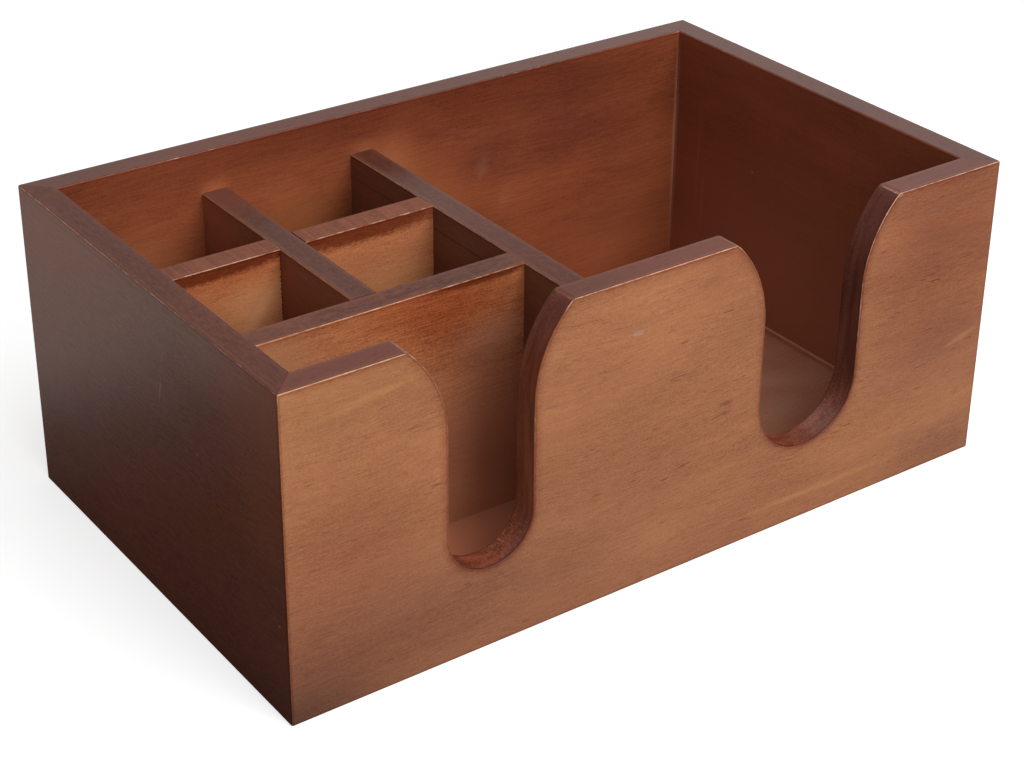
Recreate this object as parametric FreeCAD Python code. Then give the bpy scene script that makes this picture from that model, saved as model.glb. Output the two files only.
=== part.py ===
import FreeCAD, Part
import math
import os

# Wooden condiment and napkin caddy, in millimetres.
#
# Four mitred boards make an open box. A floor sits in a groove near their lower edge. A long divider
# parts the napkin bay on the right from the condiment side on the left, where one short divider and two
# cross dividers make a front bay and four cells. The front board has a U-slot before each bay.
#
# X runs left to right, Y front to back, Z up. The origin is the centre of the base.

# ---------------------------------------------------------------- driving dimensions: box
CADDY_LENGTH = 254.0  # outside, left to right
CADDY_DEPTH = 152.4  # outside, front to back
CADDY_HEIGHT = 101.6  # base to rim
WALL_THICKNESS = 8.8  # the four outer boards
ARRIS_RADIUS = 0.6  # sanded rounding on the outer boards' edges

# ---------------------------------------------------------------- driving dimensions: floor
FLOOR_THICKNESS = 5.0
FLOOR_RECESS = 3.0  # underside of the floor above the base
FLOOR_TONGUE = 3.0  # how far the floor's edge reaches into each board
GROOVE_CLEARANCE = 0.2  # beyond the floor's edge, at the bottom of the groove

# ---------------------------------------------------------------- driving dimensions: dividers
DIVIDER_THICKNESS = 8.7
DIVIDER_DROP = 13.9  # top edges below the rim
DIVIDER_ARRIS_RADIUS = 0.5
OUTER_CELL_WIDTH = 47.0  # left board to short divider
INNER_CELL_WIDTH = 45.0  # short divider to long divider
CROSS_DIVIDERS = ("front_cross_divider", "rear_cross_divider")  # they part the depth into equal rows
LAP_CLEARANCE = 0.15  # each side of a divider in its half-lap notch

# ---------------------------------------------------------------- driving dimensions: front slots
LEFT_TAB_WIDTH = 50.7  # left end to the condiment slot
CONDIMENT_SLOT_WIDTH = 28.0
NAPKIN_SLOT_WIDTH = 38.0
RIGHT_TAB_WIDTH = 54.8  # napkin slot to the right end
SLOT_SILL_HEIGHT = 26.4  # base to the bottom of the slots
SHOULDER_DROP = 28.7  # height over which a slot's side curves out to the rim
SHOULDER_RUN = 12.3  # width over which it curves out
CREASE_RADIUS = 3.0  # softened corner where the curve meets the rim

# ---------------------------------------------------------------- driving dimensions: brads
BRAD_LENGTH = 20.0
BRAD_DIAMETER = 1.2
BRAD_HEAD_DIAMETER = 1.7
BRAD_HEAD_LENGTH = 0.8
BRAD_SETBACK = 1.5  # head below the board's face, and depth of the filler
BRAD_DROP = 3.1  # below the long divider's top edge
BRAD_CLEARANCE = 0.05  # round the brad
FILLER_WIDTH = 4.3
FILLER_HEIGHT = 1.9

# ---------------------------------------------------------------- places that follow from them
LEFT, RIGHT = -CADDY_LENGTH / 2, CADDY_LENGTH / 2
FRONT, BACK = -CADDY_DEPTH / 2, CADDY_DEPTH / 2
INNER_LEFT, INNER_RIGHT = LEFT + WALL_THICKNESS, RIGHT - WALL_THICKNESS
INNER_FRONT, INNER_BACK = FRONT + WALL_THICKNESS, BACK - WALL_THICKNESS
FLOOR_TOP = FLOOR_RECESS + FLOOR_THICKNESS
DIVIDER_TOP = CADDY_HEIGHT - DIVIDER_DROP
LAP_HEIGHT = (FLOOR_TOP + DIVIDER_TOP) / 2

SHORT_DIVIDER_LEFT = INNER_LEFT + OUTER_CELL_WIDTH
LONG_DIVIDER_LEFT = SHORT_DIVIDER_LEFT + DIVIDER_THICKNESS + INNER_CELL_WIDTH
ROWS_TOTAL = INNER_BACK - INNER_FRONT - len(CROSS_DIVIDERS) * DIVIDER_THICKNESS
ROW_DEPTH = ROWS_TOTAL / (len(CROSS_DIVIDERS) + 1)

SHOULDER_RADIUS = (SHOULDER_RUN**2 + SHOULDER_DROP**2) / (2 * SHOULDER_RUN)
BRAD_X = LONG_DIVIDER_LEFT + DIVIDER_THICKNESS / 2
BRAD_Z = DIVIDER_TOP - BRAD_DROP

OVERCUT = 1.0  # how far a cutting tool runs past a face
SNAP = 1e-4


def block(low, high):
    """Box between two corners."""
    size = [h - l for l, h in zip(low, high)]
    return Part.makeBox(*size, FreeCAD.Vector(*low))


def arc_about(centre, radius, start_angle, end_angle, y):
    """Arc edge in the XZ plane at y, from one angle to the other, in radians from +X towards +Z."""
    points = []
    for angle in (start_angle, (start_angle + end_angle) / 2, end_angle):
        x, z = centre[0] + radius * math.cos(angle), centre[1] + radius * math.sin(angle)
        points.append(FreeCAD.Vector(x, y, z))
    return Part.Arc(*points).toShape()


def rounded_long_edges(shape, axis, height, radius):
    """Shape with the edges along one axis at one height rounded."""
    chosen = []
    for edge in shape.Edges:
        ends = [vertex.Point for vertex in edge.Vertexes]
        run = ends[1] - ends[0]
        along = abs(run.dot(axis)) > run.Length - SNAP
        if along and all(abs(point.z - height) < SNAP for point in ends):
            chosen.append(edge)
    return shape.makeFillet(radius, chosen)


# ---------------------------------------------------------------- slots


def slot_cutter(slot_left, slot_right):
    """Tool that cuts one U-slot: round bottom, straight sides, shoulders that curve out to the rim."""
    y = FRONT - OVERCUT
    slot_radius = (slot_right - slot_left) / 2
    slot_centre = (slot_left + slot_right) / 2
    bottom_z = SLOT_SILL_HEIGHT + slot_radius
    shoulder_z = CADDY_HEIGHT - SHOULDER_DROP
    crease_z = CADDY_HEIGHT - CREASE_RADIUS
    tool_top = CADDY_HEIGHT + OVERCUT

    # the crease arc touches the rim and the inside of the shoulder arc
    crease_reach = math.sqrt(
        (SHOULDER_RADIUS - CREASE_RADIUS) ** 2 - (crease_z - shoulder_z) ** 2
    )
    touch = math.atan2(crease_z - shoulder_z, crease_reach)

    left_shoulder = (slot_left - SHOULDER_RADIUS, shoulder_z)
    right_shoulder = (slot_right + SHOULDER_RADIUS, shoulder_z)
    left_crease = (left_shoulder[0] + crease_reach, crease_z)
    right_crease = (right_shoulder[0] - crease_reach, crease_z)
    quarter, half = math.pi / 2, math.pi

    edges = [
        arc_about(left_crease, CREASE_RADIUS, quarter, touch, y),
        arc_about(left_shoulder, SHOULDER_RADIUS, touch, 0, y),
        arc_about((slot_centre, bottom_z), slot_radius, half, 2 * half, y),
        arc_about(right_shoulder, SHOULDER_RADIUS, half, half - touch, y),
        arc_about(right_crease, CREASE_RADIUS, half - touch, quarter, y),
    ]
    outline = [edges[0]]
    for edge in edges[1:]:
        outline += straight_between(outline[-1].lastVertex().Point, edge.firstVertex().Point)
        outline.append(edge)
    start, end = outline[0].firstVertex().Point, outline[-1].lastVertex().Point
    rise = FreeCAD.Vector(0, 0, tool_top - CADDY_HEIGHT)
    corners = [end, end + rise, start + rise, start]
    for near, far in zip(corners, corners[1:]):
        outline += straight_between(near, far)
    return extruded(outline, FreeCAD.Vector(0, WALL_THICKNESS + 2 * OVERCUT, 0))


def straight_between(start, end):
    """A straight edge as a list, or an empty list where the two points meet."""
    if (end - start).Length < SNAP:
        return []
    return [Part.LineSegment(start, end).toShape()]


def extruded(edges, run):
    """Solid swept from a closed outline of edges."""
    return Part.Face(Part.Wire(edges)).extrude(run)


# ---------------------------------------------------------------- outer boards


def box_wall():
    """The four walls in one piece, with slots, eased edges and the floor's groove."""
    outside = block((LEFT, FRONT, 0), (RIGHT, BACK, CADDY_HEIGHT))
    inside = block(
        (INNER_LEFT, INNER_FRONT, -OVERCUT), (INNER_RIGHT, INNER_BACK, CADDY_HEIGHT + OVERCUT)
    )
    wall = outside.cut(inside)
    condiment_left = LEFT + LEFT_TAB_WIDTH
    napkin_right = RIGHT - RIGHT_TAB_WIDTH
    wall = wall.cut(slot_cutter(condiment_left, condiment_left + CONDIMENT_SLOT_WIDTH))
    wall = wall.cut(slot_cutter(napkin_right - NAPKIN_SLOT_WIDTH, napkin_right))
    wall = wall.makeFillet(ARRIS_RADIUS, [edge for edge in wall.Edges if is_arris(edge)])
    reach = FLOOR_TONGUE + GROOVE_CLEARANCE
    groove = block(
        (INNER_LEFT - reach, INNER_FRONT - reach, FLOOR_RECESS),
        (INNER_RIGHT + reach, INNER_BACK + reach, FLOOR_TOP),
    )
    return wall.cut(groove)


def lies_at(low, high, places):
    """True where a span from low to high is flat against one of the places."""
    return any(abs(low - place) < SNAP and abs(high - place) < SNAP for place in places)


def is_arris(edge):
    """True for each edge of the rim and the slots, and for each outer corner and outer base edge."""
    bounds = edge.BoundBox
    on_end = lies_at(bounds.XMin, bounds.XMax, (LEFT, RIGHT))
    on_side = lies_at(bounds.YMin, bounds.YMax, (FRONT, BACK))
    on_inner_end = lies_at(bounds.XMin, bounds.XMax, (INNER_LEFT, INNER_RIGHT))
    on_inner_side = lies_at(bounds.YMin, bounds.YMax, (INNER_FRONT, INNER_BACK))
    at_rim = lies_at(bounds.ZMin, bounds.ZMax, (CADDY_HEIGHT,))
    at_base = lies_at(bounds.ZMin, bounds.ZMax, (0,))
    on_front_board = lies_at(bounds.YMin, bounds.YMax, (FRONT, INNER_FRONT))

    outer_corner = on_end and on_side
    base_edge = at_base and (on_end or on_side)
    rim_edge = at_rim and (on_end or on_side or on_inner_end or on_inner_side)
    slot_edge = on_front_board and bounds.ZMin > SLOT_SILL_HEIGHT - SNAP
    return outer_corner or base_edge or rim_edge or slot_edge


def mitre_wedge(corners):
    """Prism that keeps one board out of the four walls, from its plan corners."""
    points = [FreeCAD.Vector(x, y, -OVERCUT) for x, y in corners]
    outline = Part.makePolygon(points + points[:1])
    return Part.Face(outline).extrude(FreeCAD.Vector(0, 0, CADDY_HEIGHT + 2 * OVERCUT))


def outer_boards():
    """The four walls parted at the mitres, by name."""
    wall = box_wall()
    out_left, out_right = LEFT - OVERCUT, RIGHT + OVERCUT
    out_front, out_back = FRONT - OVERCUT, BACK + OVERCUT
    outer = {
        "front_left": (out_left, out_front),
        "front_right": (out_right, out_front),
        "back_right": (out_right, out_back),
        "back_left": (out_left, out_back),
    }
    inner = {
        "front_left": (INNER_LEFT, INNER_FRONT),
        "front_right": (INNER_RIGHT, INNER_FRONT),
        "back_right": (INNER_RIGHT, INNER_BACK),
        "back_left": (INNER_LEFT, INNER_BACK),
    }
    ends = {
        "front_panel": ("front_left", "front_right"),
        "right_end_panel": ("front_right", "back_right"),
        "back_panel": ("back_right", "back_left"),
        "left_end_panel": ("back_left", "front_left"),
    }
    boards = {}
    for name, (start, end) in ends.items():
        wedge = mitre_wedge([outer[start], outer[end], inner[end], inner[start]])
        boards[name] = wall.common(wedge)
    return boards


# ---------------------------------------------------------------- floor and dividers


def bottom_panel():
    """Floor, with its edges in the boards' groove."""
    return block(
        (INNER_LEFT - FLOOR_TONGUE, INNER_FRONT - FLOOR_TONGUE, FLOOR_RECESS),
        (INNER_RIGHT + FLOOR_TONGUE, INNER_BACK + FLOOR_TONGUE, FLOOR_TOP),
    )


def lengthwise_divider(left, front, back):
    """Divider that runs front to back."""
    board = block((left, front, FLOOR_TOP), (left + DIVIDER_THICKNESS, back, DIVIDER_TOP))
    return rounded_long_edges(board, FreeCAD.Vector(0, 1, 0), DIVIDER_TOP, DIVIDER_ARRIS_RADIUS)


def cross_divider(front):
    """Divider that runs from the left board to the long divider."""
    board = block(
        (INNER_LEFT, front, FLOOR_TOP),
        (LONG_DIVIDER_LEFT, front + DIVIDER_THICKNESS, DIVIDER_TOP),
    )
    return rounded_long_edges(board, FreeCAD.Vector(1, 0, 0), DIVIDER_TOP, DIVIDER_ARRIS_RADIUS)


def lower_notch(cross_front):
    """Half-lap notch in the short divider, for the cross divider whose front is given."""
    return block(
        (SHORT_DIVIDER_LEFT - OVERCUT, cross_front - LAP_CLEARANCE, FLOOR_TOP - OVERCUT),
        (
            SHORT_DIVIDER_LEFT + DIVIDER_THICKNESS + OVERCUT,
            cross_front + DIVIDER_THICKNESS + LAP_CLEARANCE,
            LAP_HEIGHT,
        ),
    )


def upper_notch(cross_front):
    """Half-lap notch for the short divider, in the cross divider whose front is given."""
    return block(
        (SHORT_DIVIDER_LEFT - LAP_CLEARANCE, cross_front - OVERCUT, LAP_HEIGHT),
        (
            SHORT_DIVIDER_LEFT + DIVIDER_THICKNESS + LAP_CLEARANCE,
            cross_front + DIVIDER_THICKNESS + OVERCUT,
            DIVIDER_TOP + OVERCUT,
        ),
    )


def dividers():
    """Every divider, by name. The first cross divider stops the short divider and the others cross it."""
    short_divider_front = INNER_FRONT + ROW_DEPTH + DIVIDER_THICKNESS
    short_divider = lengthwise_divider(SHORT_DIVIDER_LEFT, short_divider_front, INNER_BACK)
    pieces = {"long_divider": lengthwise_divider(LONG_DIVIDER_LEFT, INNER_FRONT, INNER_BACK)}
    for index, name in enumerate(CROSS_DIVIDERS):
        front = INNER_FRONT + ROW_DEPTH + index * (ROW_DEPTH + DIVIDER_THICKNESS)
        pieces[name] = cross_divider(front)
        if front > short_divider_front:
            pieces[name] = pieces[name].cut(upper_notch(front))
            short_divider = short_divider.cut(lower_notch(front))
    pieces["short_divider"] = short_divider
    return pieces


# ---------------------------------------------------------------- brads


def brad(face_y, inward, clearance):
    """Headed brad driven from one outer face, or the hole for it where a clearance is given."""
    direction = FreeCAD.Vector(0, inward, 0)
    head_start = FreeCAD.Vector(BRAD_X, face_y + inward * BRAD_SETBACK, BRAD_Z)
    head = Part.makeCylinder(
        BRAD_HEAD_DIAMETER / 2 + clearance, BRAD_HEAD_LENGTH + clearance, head_start, direction
    )
    shank = Part.makeCylinder(
        BRAD_DIAMETER / 2 + clearance, BRAD_LENGTH + clearance, head_start, direction
    )
    return head.fuse(shank).removeSplitter()


def filler_plug(face_y, inward):
    """Oval patch of filler over a brad's head, flush with the board's face."""
    radius = FILLER_HEIGHT / 2
    reach = FILLER_WIDTH / 2 - radius
    quarter = math.pi / 2
    right_end = arc_about((BRAD_X + reach, BRAD_Z), radius, -quarter, quarter, face_y)
    left_end = arc_about((BRAD_X - reach, BRAD_Z), radius, quarter, 3 * quarter, face_y)
    top = straight_between(right_end.lastVertex().Point, left_end.firstVertex().Point)
    bottom = straight_between(left_end.lastVertex().Point, right_end.firstVertex().Point)
    outline = [right_end] + top + [left_end] + bottom
    return extruded(outline, FreeCAD.Vector(0, inward * BRAD_SETBACK, 0))


# ---------------------------------------------------------------- assembly


def build():
    """Every piece, by node name."""
    pieces = outer_boards() | {"bottom_panel": bottom_panel()} | dividers()
    for name, board, face_y, inward in (
        ("front_brad", "front_panel", FRONT, 1),
        ("rear_brad", "back_panel", BACK, -1),
    ):
        hole = brad(face_y, inward, BRAD_CLEARANCE)
        plug = filler_plug(face_y, inward)
        pieces[board] = pieces[board].cut(hole).cut(plug)
        pieces["long_divider"] = pieces["long_divider"].cut(hole)
        pieces[name] = brad(face_y, inward, 0)
        pieces[name + "_filler"] = plug
    return pieces


os.makedirs("parts", exist_ok=True)
for node, shape in build().items():
    solids = shape.Solids
    assert len(solids) == 1, f"{node} has {len(solids)} solids"
    assert solids[0].isValid(), f"{node} isn't a valid solid"
    solids[0].exportStep(f"parts/{node}.step")
    print(f"{node}: {solids[0].Volume / 1000:.2f} cm3")
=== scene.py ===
"""Looks of the wooden condiment and napkin caddy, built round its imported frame."""

import logging
import math
import random
from collections.abc import Callable, Iterable, Sequence
from dataclasses import dataclass, field, replace
from enum import Enum
from functools import partial, reduce

import bmesh
import bpy
from mathutils import Matrix, Vector


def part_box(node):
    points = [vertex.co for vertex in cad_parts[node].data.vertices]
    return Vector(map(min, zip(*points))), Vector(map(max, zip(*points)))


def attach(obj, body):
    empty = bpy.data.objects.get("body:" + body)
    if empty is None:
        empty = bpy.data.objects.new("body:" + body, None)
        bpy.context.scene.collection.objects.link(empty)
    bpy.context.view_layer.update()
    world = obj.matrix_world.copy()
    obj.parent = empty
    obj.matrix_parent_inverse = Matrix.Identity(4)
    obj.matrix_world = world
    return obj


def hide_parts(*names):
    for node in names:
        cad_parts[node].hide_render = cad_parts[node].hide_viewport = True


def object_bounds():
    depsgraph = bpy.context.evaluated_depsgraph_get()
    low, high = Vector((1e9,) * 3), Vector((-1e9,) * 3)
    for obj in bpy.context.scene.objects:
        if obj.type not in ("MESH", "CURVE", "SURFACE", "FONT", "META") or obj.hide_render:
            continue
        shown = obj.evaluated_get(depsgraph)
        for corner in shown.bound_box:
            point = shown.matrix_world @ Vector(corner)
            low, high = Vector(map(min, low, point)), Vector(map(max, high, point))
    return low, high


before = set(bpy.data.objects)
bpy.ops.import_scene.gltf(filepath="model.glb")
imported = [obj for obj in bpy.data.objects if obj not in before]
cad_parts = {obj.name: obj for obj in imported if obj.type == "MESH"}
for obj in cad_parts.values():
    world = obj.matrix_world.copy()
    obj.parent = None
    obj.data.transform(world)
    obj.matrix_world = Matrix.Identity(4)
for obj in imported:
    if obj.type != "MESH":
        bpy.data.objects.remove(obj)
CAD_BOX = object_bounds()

log = logging.getLogger("caddy")

MM = 0.001
BODY = "root"
SNAP = 1e-6
SAW_SNAP = 1e-7
OVERCUT = 1.0 * MM
Point = Sequence[float]
Pair = tuple[float, float]
Colour = tuple[float, float, float]
Spot = tuple[float, float, float]
EdgeTest = Callable[[Vector, Vector], bool]
FaceTest = Callable[[Vector, Vector], bool]


# ---------------------------------------------------------------- bench tools


def clear_selection() -> None:
    """Deselects every object, because operators act on all that is selected."""
    if bpy.context.object and bpy.context.object.mode != "OBJECT":
        bpy.ops.object.mode_set(mode="OBJECT")
    bpy.ops.object.select_all(action="DESELECT")


def take_up(piece: bpy.types.Object) -> None:
    """Makes a piece the only selected one, and the active one.

    Args:
        piece: the piece.
    """
    clear_selection()
    piece.select_set(True)
    bpy.context.view_layer.objects.active = piece


def set_place(piece: bpy.types.Object) -> None:
    """Moves a piece's place, turn and size into its mesh."""
    take_up(piece)
    bpy.ops.object.transform_apply(location=True, rotation=True, scale=True)


def block(name: str, low: Point, high: Point) -> bpy.types.Object:
    """Squared blank of wood.

    Args:
        name: the piece's name.
        low: lowest corner, in metres.
        high: highest corner, in metres.

    Returns:
        The new piece, with its place in its mesh.
    """
    clear_selection()
    low, high = Vector(low), Vector(high)
    bpy.ops.mesh.primitive_cube_add(size=1, location=(low + high) / 2)
    piece = bpy.context.object
    piece.name = piece.data.name = name
    piece.scale = high - low
    set_place(piece)
    return piece


def rod(name: str, radius: float, start: Point, end: Point, sides: int) -> bpy.types.Object:
    """Cylinder between two points, used as a drill or a cutter.

    Args:
        name: the piece's name.
        radius: its radius, in metres.
        start: centre of one end.
        end: centre of the other end.
        sides: how many sides it has.

    Returns:
        The new piece, with its place in its mesh.
    """
    clear_selection()
    run = Vector(end) - Vector(start)
    turn = run.to_track_quat("Z", "Y").to_euler()
    bpy.ops.mesh.primitive_cylinder_add(
        vertices=sides,
        radius=radius,
        depth=run.length,
        location=(Vector(start) + Vector(end)) / 2,
        rotation=turn,
    )
    piece = bpy.context.object
    piece.name = piece.data.name = name
    set_place(piece)
    return piece


def copy_of(piece: bpy.types.Object, name: str) -> bpy.types.Object:
    """Copies a piece, with its own mesh.

    Args:
        piece: the piece.
        name: the copy's name.

    Returns:
        The copy.
    """
    take_up(piece)
    bpy.ops.object.duplicate()
    twin = bpy.context.object
    twin.name = twin.data.name = name
    return twin


def scrap(piece: bpy.types.Object) -> None:
    """Deletes a piece that was only a tool."""
    bpy.data.objects.remove(piece)


def cut_away(piece: bpy.types.Object, tool: bpy.types.Object) -> None:
    """Cuts a tool's shape out of a piece, and deletes the tool.

    Args:
        piece: the piece that is cut.
        tool: the tool.
    """
    take_up(piece)
    cutter = piece.modifiers.new("cut", "BOOLEAN")
    cutter.operation = "DIFFERENCE"
    cutter.solver = "EXACT"
    cutter.object = tool
    bpy.ops.object.modifier_apply(modifier=cutter.name)
    scrap(tool)


class Part(Enum):
    """What can be picked on a mesh."""

    EDGES = "EDGE"
    FACES = "FACE"


class Bench:
    """A piece held in edit mode, with its edges and faces picked by their place."""

    def __init__(self, piece: bpy.types.Object) -> None:
        """Keeps the piece that is worked on."""
        self.piece = piece

    def __enter__(self) -> "Bench":
        """Enters edit mode with nothing selected.

        Returns:
            The bench.
        """
        take_up(self.piece)
        bpy.ops.object.mode_set(mode="EDIT")
        bpy.ops.mesh.select_all(action="DESELECT")
        return self

    def __exit__(self, *problem: object) -> None:
        """Leaves edit mode."""
        bpy.ops.object.mode_set(mode="OBJECT")

    def pick(self, part: Part, wanted: Callable[..., bool]) -> None:
        """Selects the edges or the faces that pass a test.

        Args:
            part: which of them are picked.
            wanted: takes one of them and says whether it is wanted.
        """
        bpy.ops.mesh.select_mode(type=part.value)
        bpy.ops.mesh.select_all(action="DESELECT")
        shape = bmesh.from_edit_mesh(self.piece.data)
        for item in shape.edges if part is Part.EDGES else shape.faces:
            if wanted(item):
                item.select_set(True)
        bmesh.update_edit_mesh(self.piece.data)

    def pick_edges(self, wanted: EdgeTest) -> None:
        """Selects the edges whose two ends pass a test."""
        self.pick(Part.EDGES, lambda edge: wanted(edge.verts[0].co, edge.verts[1].co))

    def pick_faces(self, wanted: FaceTest) -> None:
        """Selects the faces whose centre and normal pass a test."""
        self.pick(Part.FACES, lambda face: wanted(face.calc_center_median(), face.normal))

    def pick_all(self) -> None:
        """Selects the whole mesh."""
        bpy.ops.mesh.select_all(action="SELECT")

    def ease(self, radius: float, steps: int) -> None:
        """Rounds the selected edges."""
        bpy.ops.mesh.bevel(
            offset=radius, offset_type="OFFSET", segments=steps, profile=0.5, affect="EDGES"
        )

    def saw(self, place: Point, normal: Point) -> None:
        """Saws the piece off at a plane, and closes the cut.

        Args:
            place: a point on the plane.
            normal: points to the side that is taken away.
        """
        self.pick_all()
        bpy.ops.mesh.bisect(
            plane_co=place, plane_no=normal, use_fill=True, clear_outer=True, threshold=SAW_SNAP
        )


def finish_surface(piece: bpy.types.Object, angle: float = 35.0) -> None:
    """Smooths the rounded stretches, and keeps the flats flat.

    Args:
        piece: the piece.
        angle: the angle past which an edge stays sharp, in degrees.
    """
    take_up(piece)
    bpy.ops.object.shade_smooth_by_angle(angle=math.radians(angle))
    weighted = piece.modifiers.new("flats", "WEIGHTED_NORMAL")
    weighted.keep_sharp = True
    bpy.ops.object.modifier_apply(modifier=weighted.name)


# ---------------------------------------------------------------- places from the frame


@dataclass(frozen=True)
class Places:
    """Places of the caddy's planes, read from the frame, in metres."""

    left: float
    right: float
    front: float
    back: float
    top: float
    wall: float
    floor_bottom: float
    floor_top: float

    @property
    def inner_left(self) -> float:
        """Inner face of the left end board."""
        return self.left + self.wall

    @property
    def inner_right(self) -> float:
        """Inner face of the right end board."""
        return self.right - self.wall

    @property
    def inner_front(self) -> float:
        """Inner face of the front board."""
        return self.front + self.wall

    @property
    def inner_back(self) -> float:
        """Inner face of the back board."""
        return self.back - self.wall


def read_places() -> Places:
    """Reads the caddy's planes from the frame.

    Returns:
        The places that every piece is built to.
    """
    low, high = CAD_BOX
    front_low, front_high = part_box("front_panel")
    floor_low, floor_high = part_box("bottom_panel")
    return Places(
        left=low.x,
        right=high.x,
        front=low.y,
        back=high.y,
        top=high.z,
        wall=front_high.y - front_low.y,
        floor_bottom=floor_low.z,
        floor_top=floor_high.z,
    )


# ---------------------------------------------------------------- outer boards


@dataclass(frozen=True)
class SlotShape:
    """One U-slot in the front board, in metres."""

    left: float
    right: float
    sill: float = 26.4 * MM
    shoulder_drop: float = 28.7 * MM
    shoulder_run: float = 12.3 * MM
    crease: float = 3.0 * MM
    crease_steps: int = 6
    shoulder_steps: int = 20
    round_steps: int = 36

    @property
    def centre(self) -> float:
        """Middle of the slot."""
        return (self.left + self.right) / 2

    @property
    def half_width(self) -> float:
        """Radius of the slot's round bottom."""
        return (self.right - self.left) / 2

    @property
    def round_height(self) -> float:
        """Height of the round bottom's centre."""
        return self.sill + self.half_width

    @property
    def shoulder_radius(self) -> float:
        """Radius of the curve from the slot's side out to the rim."""
        return (self.shoulder_run**2 + self.shoulder_drop**2) / (2 * self.shoulder_run)

    def cutter(self, places: Places) -> bpy.types.Object:
        """Makes the tool that cuts this slot.

        A short line across the board is spun and drawn round the slot's outline, and the ribbon that it
        leaves is closed at its top and both sides.

        Args:
            places: the caddy's planes.

        Returns:
            The cutting tool.
        """
        near, far = places.front - OVERCUT, places.inner_front + OVERCUT
        shoulder_z = places.top - self.shoulder_drop
        crease_z = places.top - self.crease
        radius = self.shoulder_radius
        reach = math.sqrt((radius - self.crease) ** 2 - (crease_z - shoulder_z) ** 2)
        touch = math.atan2(crease_z - shoulder_z, reach)
        crease_x = self.left - radius + reach
        quarter = math.pi / 2

        clear_selection()
        bpy.ops.mesh.primitive_plane_add(size=1, location=(0, 0, 0))
        tool = bpy.context.object
        tool.name = "slot_cutter"
        tool.rotation_euler = (0, quarter, 0)
        tool.scale = (OVERCUT, far - near, 1)
        tool.location = (crease_x, (near + far) / 2, places.top + OVERCUT / 2)
        set_place(tool)
        with Bench(tool) as bench:
            bench.pick_edges(lambda a, b: max(a.z, b.z) < places.top + SNAP)
            self.spin(-(quarter - touch), (crease_x, 0, crease_z), self.crease_steps)
            self.spin(-touch, (self.left - radius, 0, shoulder_z), self.shoulder_steps)
            self.draw(self.round_height - shoulder_z)
            self.spin(2 * quarter, (self.centre, 0, self.round_height), self.round_steps)
            self.draw(shoulder_z - self.round_height)
            self.spin(-touch, (self.right + radius, 0, shoulder_z), self.shoulder_steps)
            mirrored = (2 * self.centre - crease_x, 0, crease_z)
            self.spin(-(quarter - touch), mirrored, self.crease_steps)
            self.draw(OVERCUT)
            bench.pick_all()
            bpy.ops.mesh.remove_doubles(threshold=SNAP)
            bench.pick_edges(lambda a, b: min(a.z, b.z) > places.top + OVERCUT - SNAP)
            bpy.ops.mesh.edge_face_add()
            bench.pick_all()
            bpy.ops.mesh.fill_holes(sides=0)
            bench.pick_all()
            bpy.ops.mesh.normals_make_consistent(inside=False)
        return tool

    @staticmethod
    def spin(angle: float, centre: Point, steps: int) -> None:
        """Spins the selected edge about a line across the board."""
        bpy.ops.mesh.spin(steps=steps, angle=angle, center=centre, axis=(0, 1, 0))

    @staticmethod
    def draw(rise: float) -> None:
        """Draws the selected edge up by a rise, or down where it is negative."""
        bpy.ops.mesh.extrude_region_move(TRANSFORM_OT_translate={"value": (0, 0, rise)})


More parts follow.
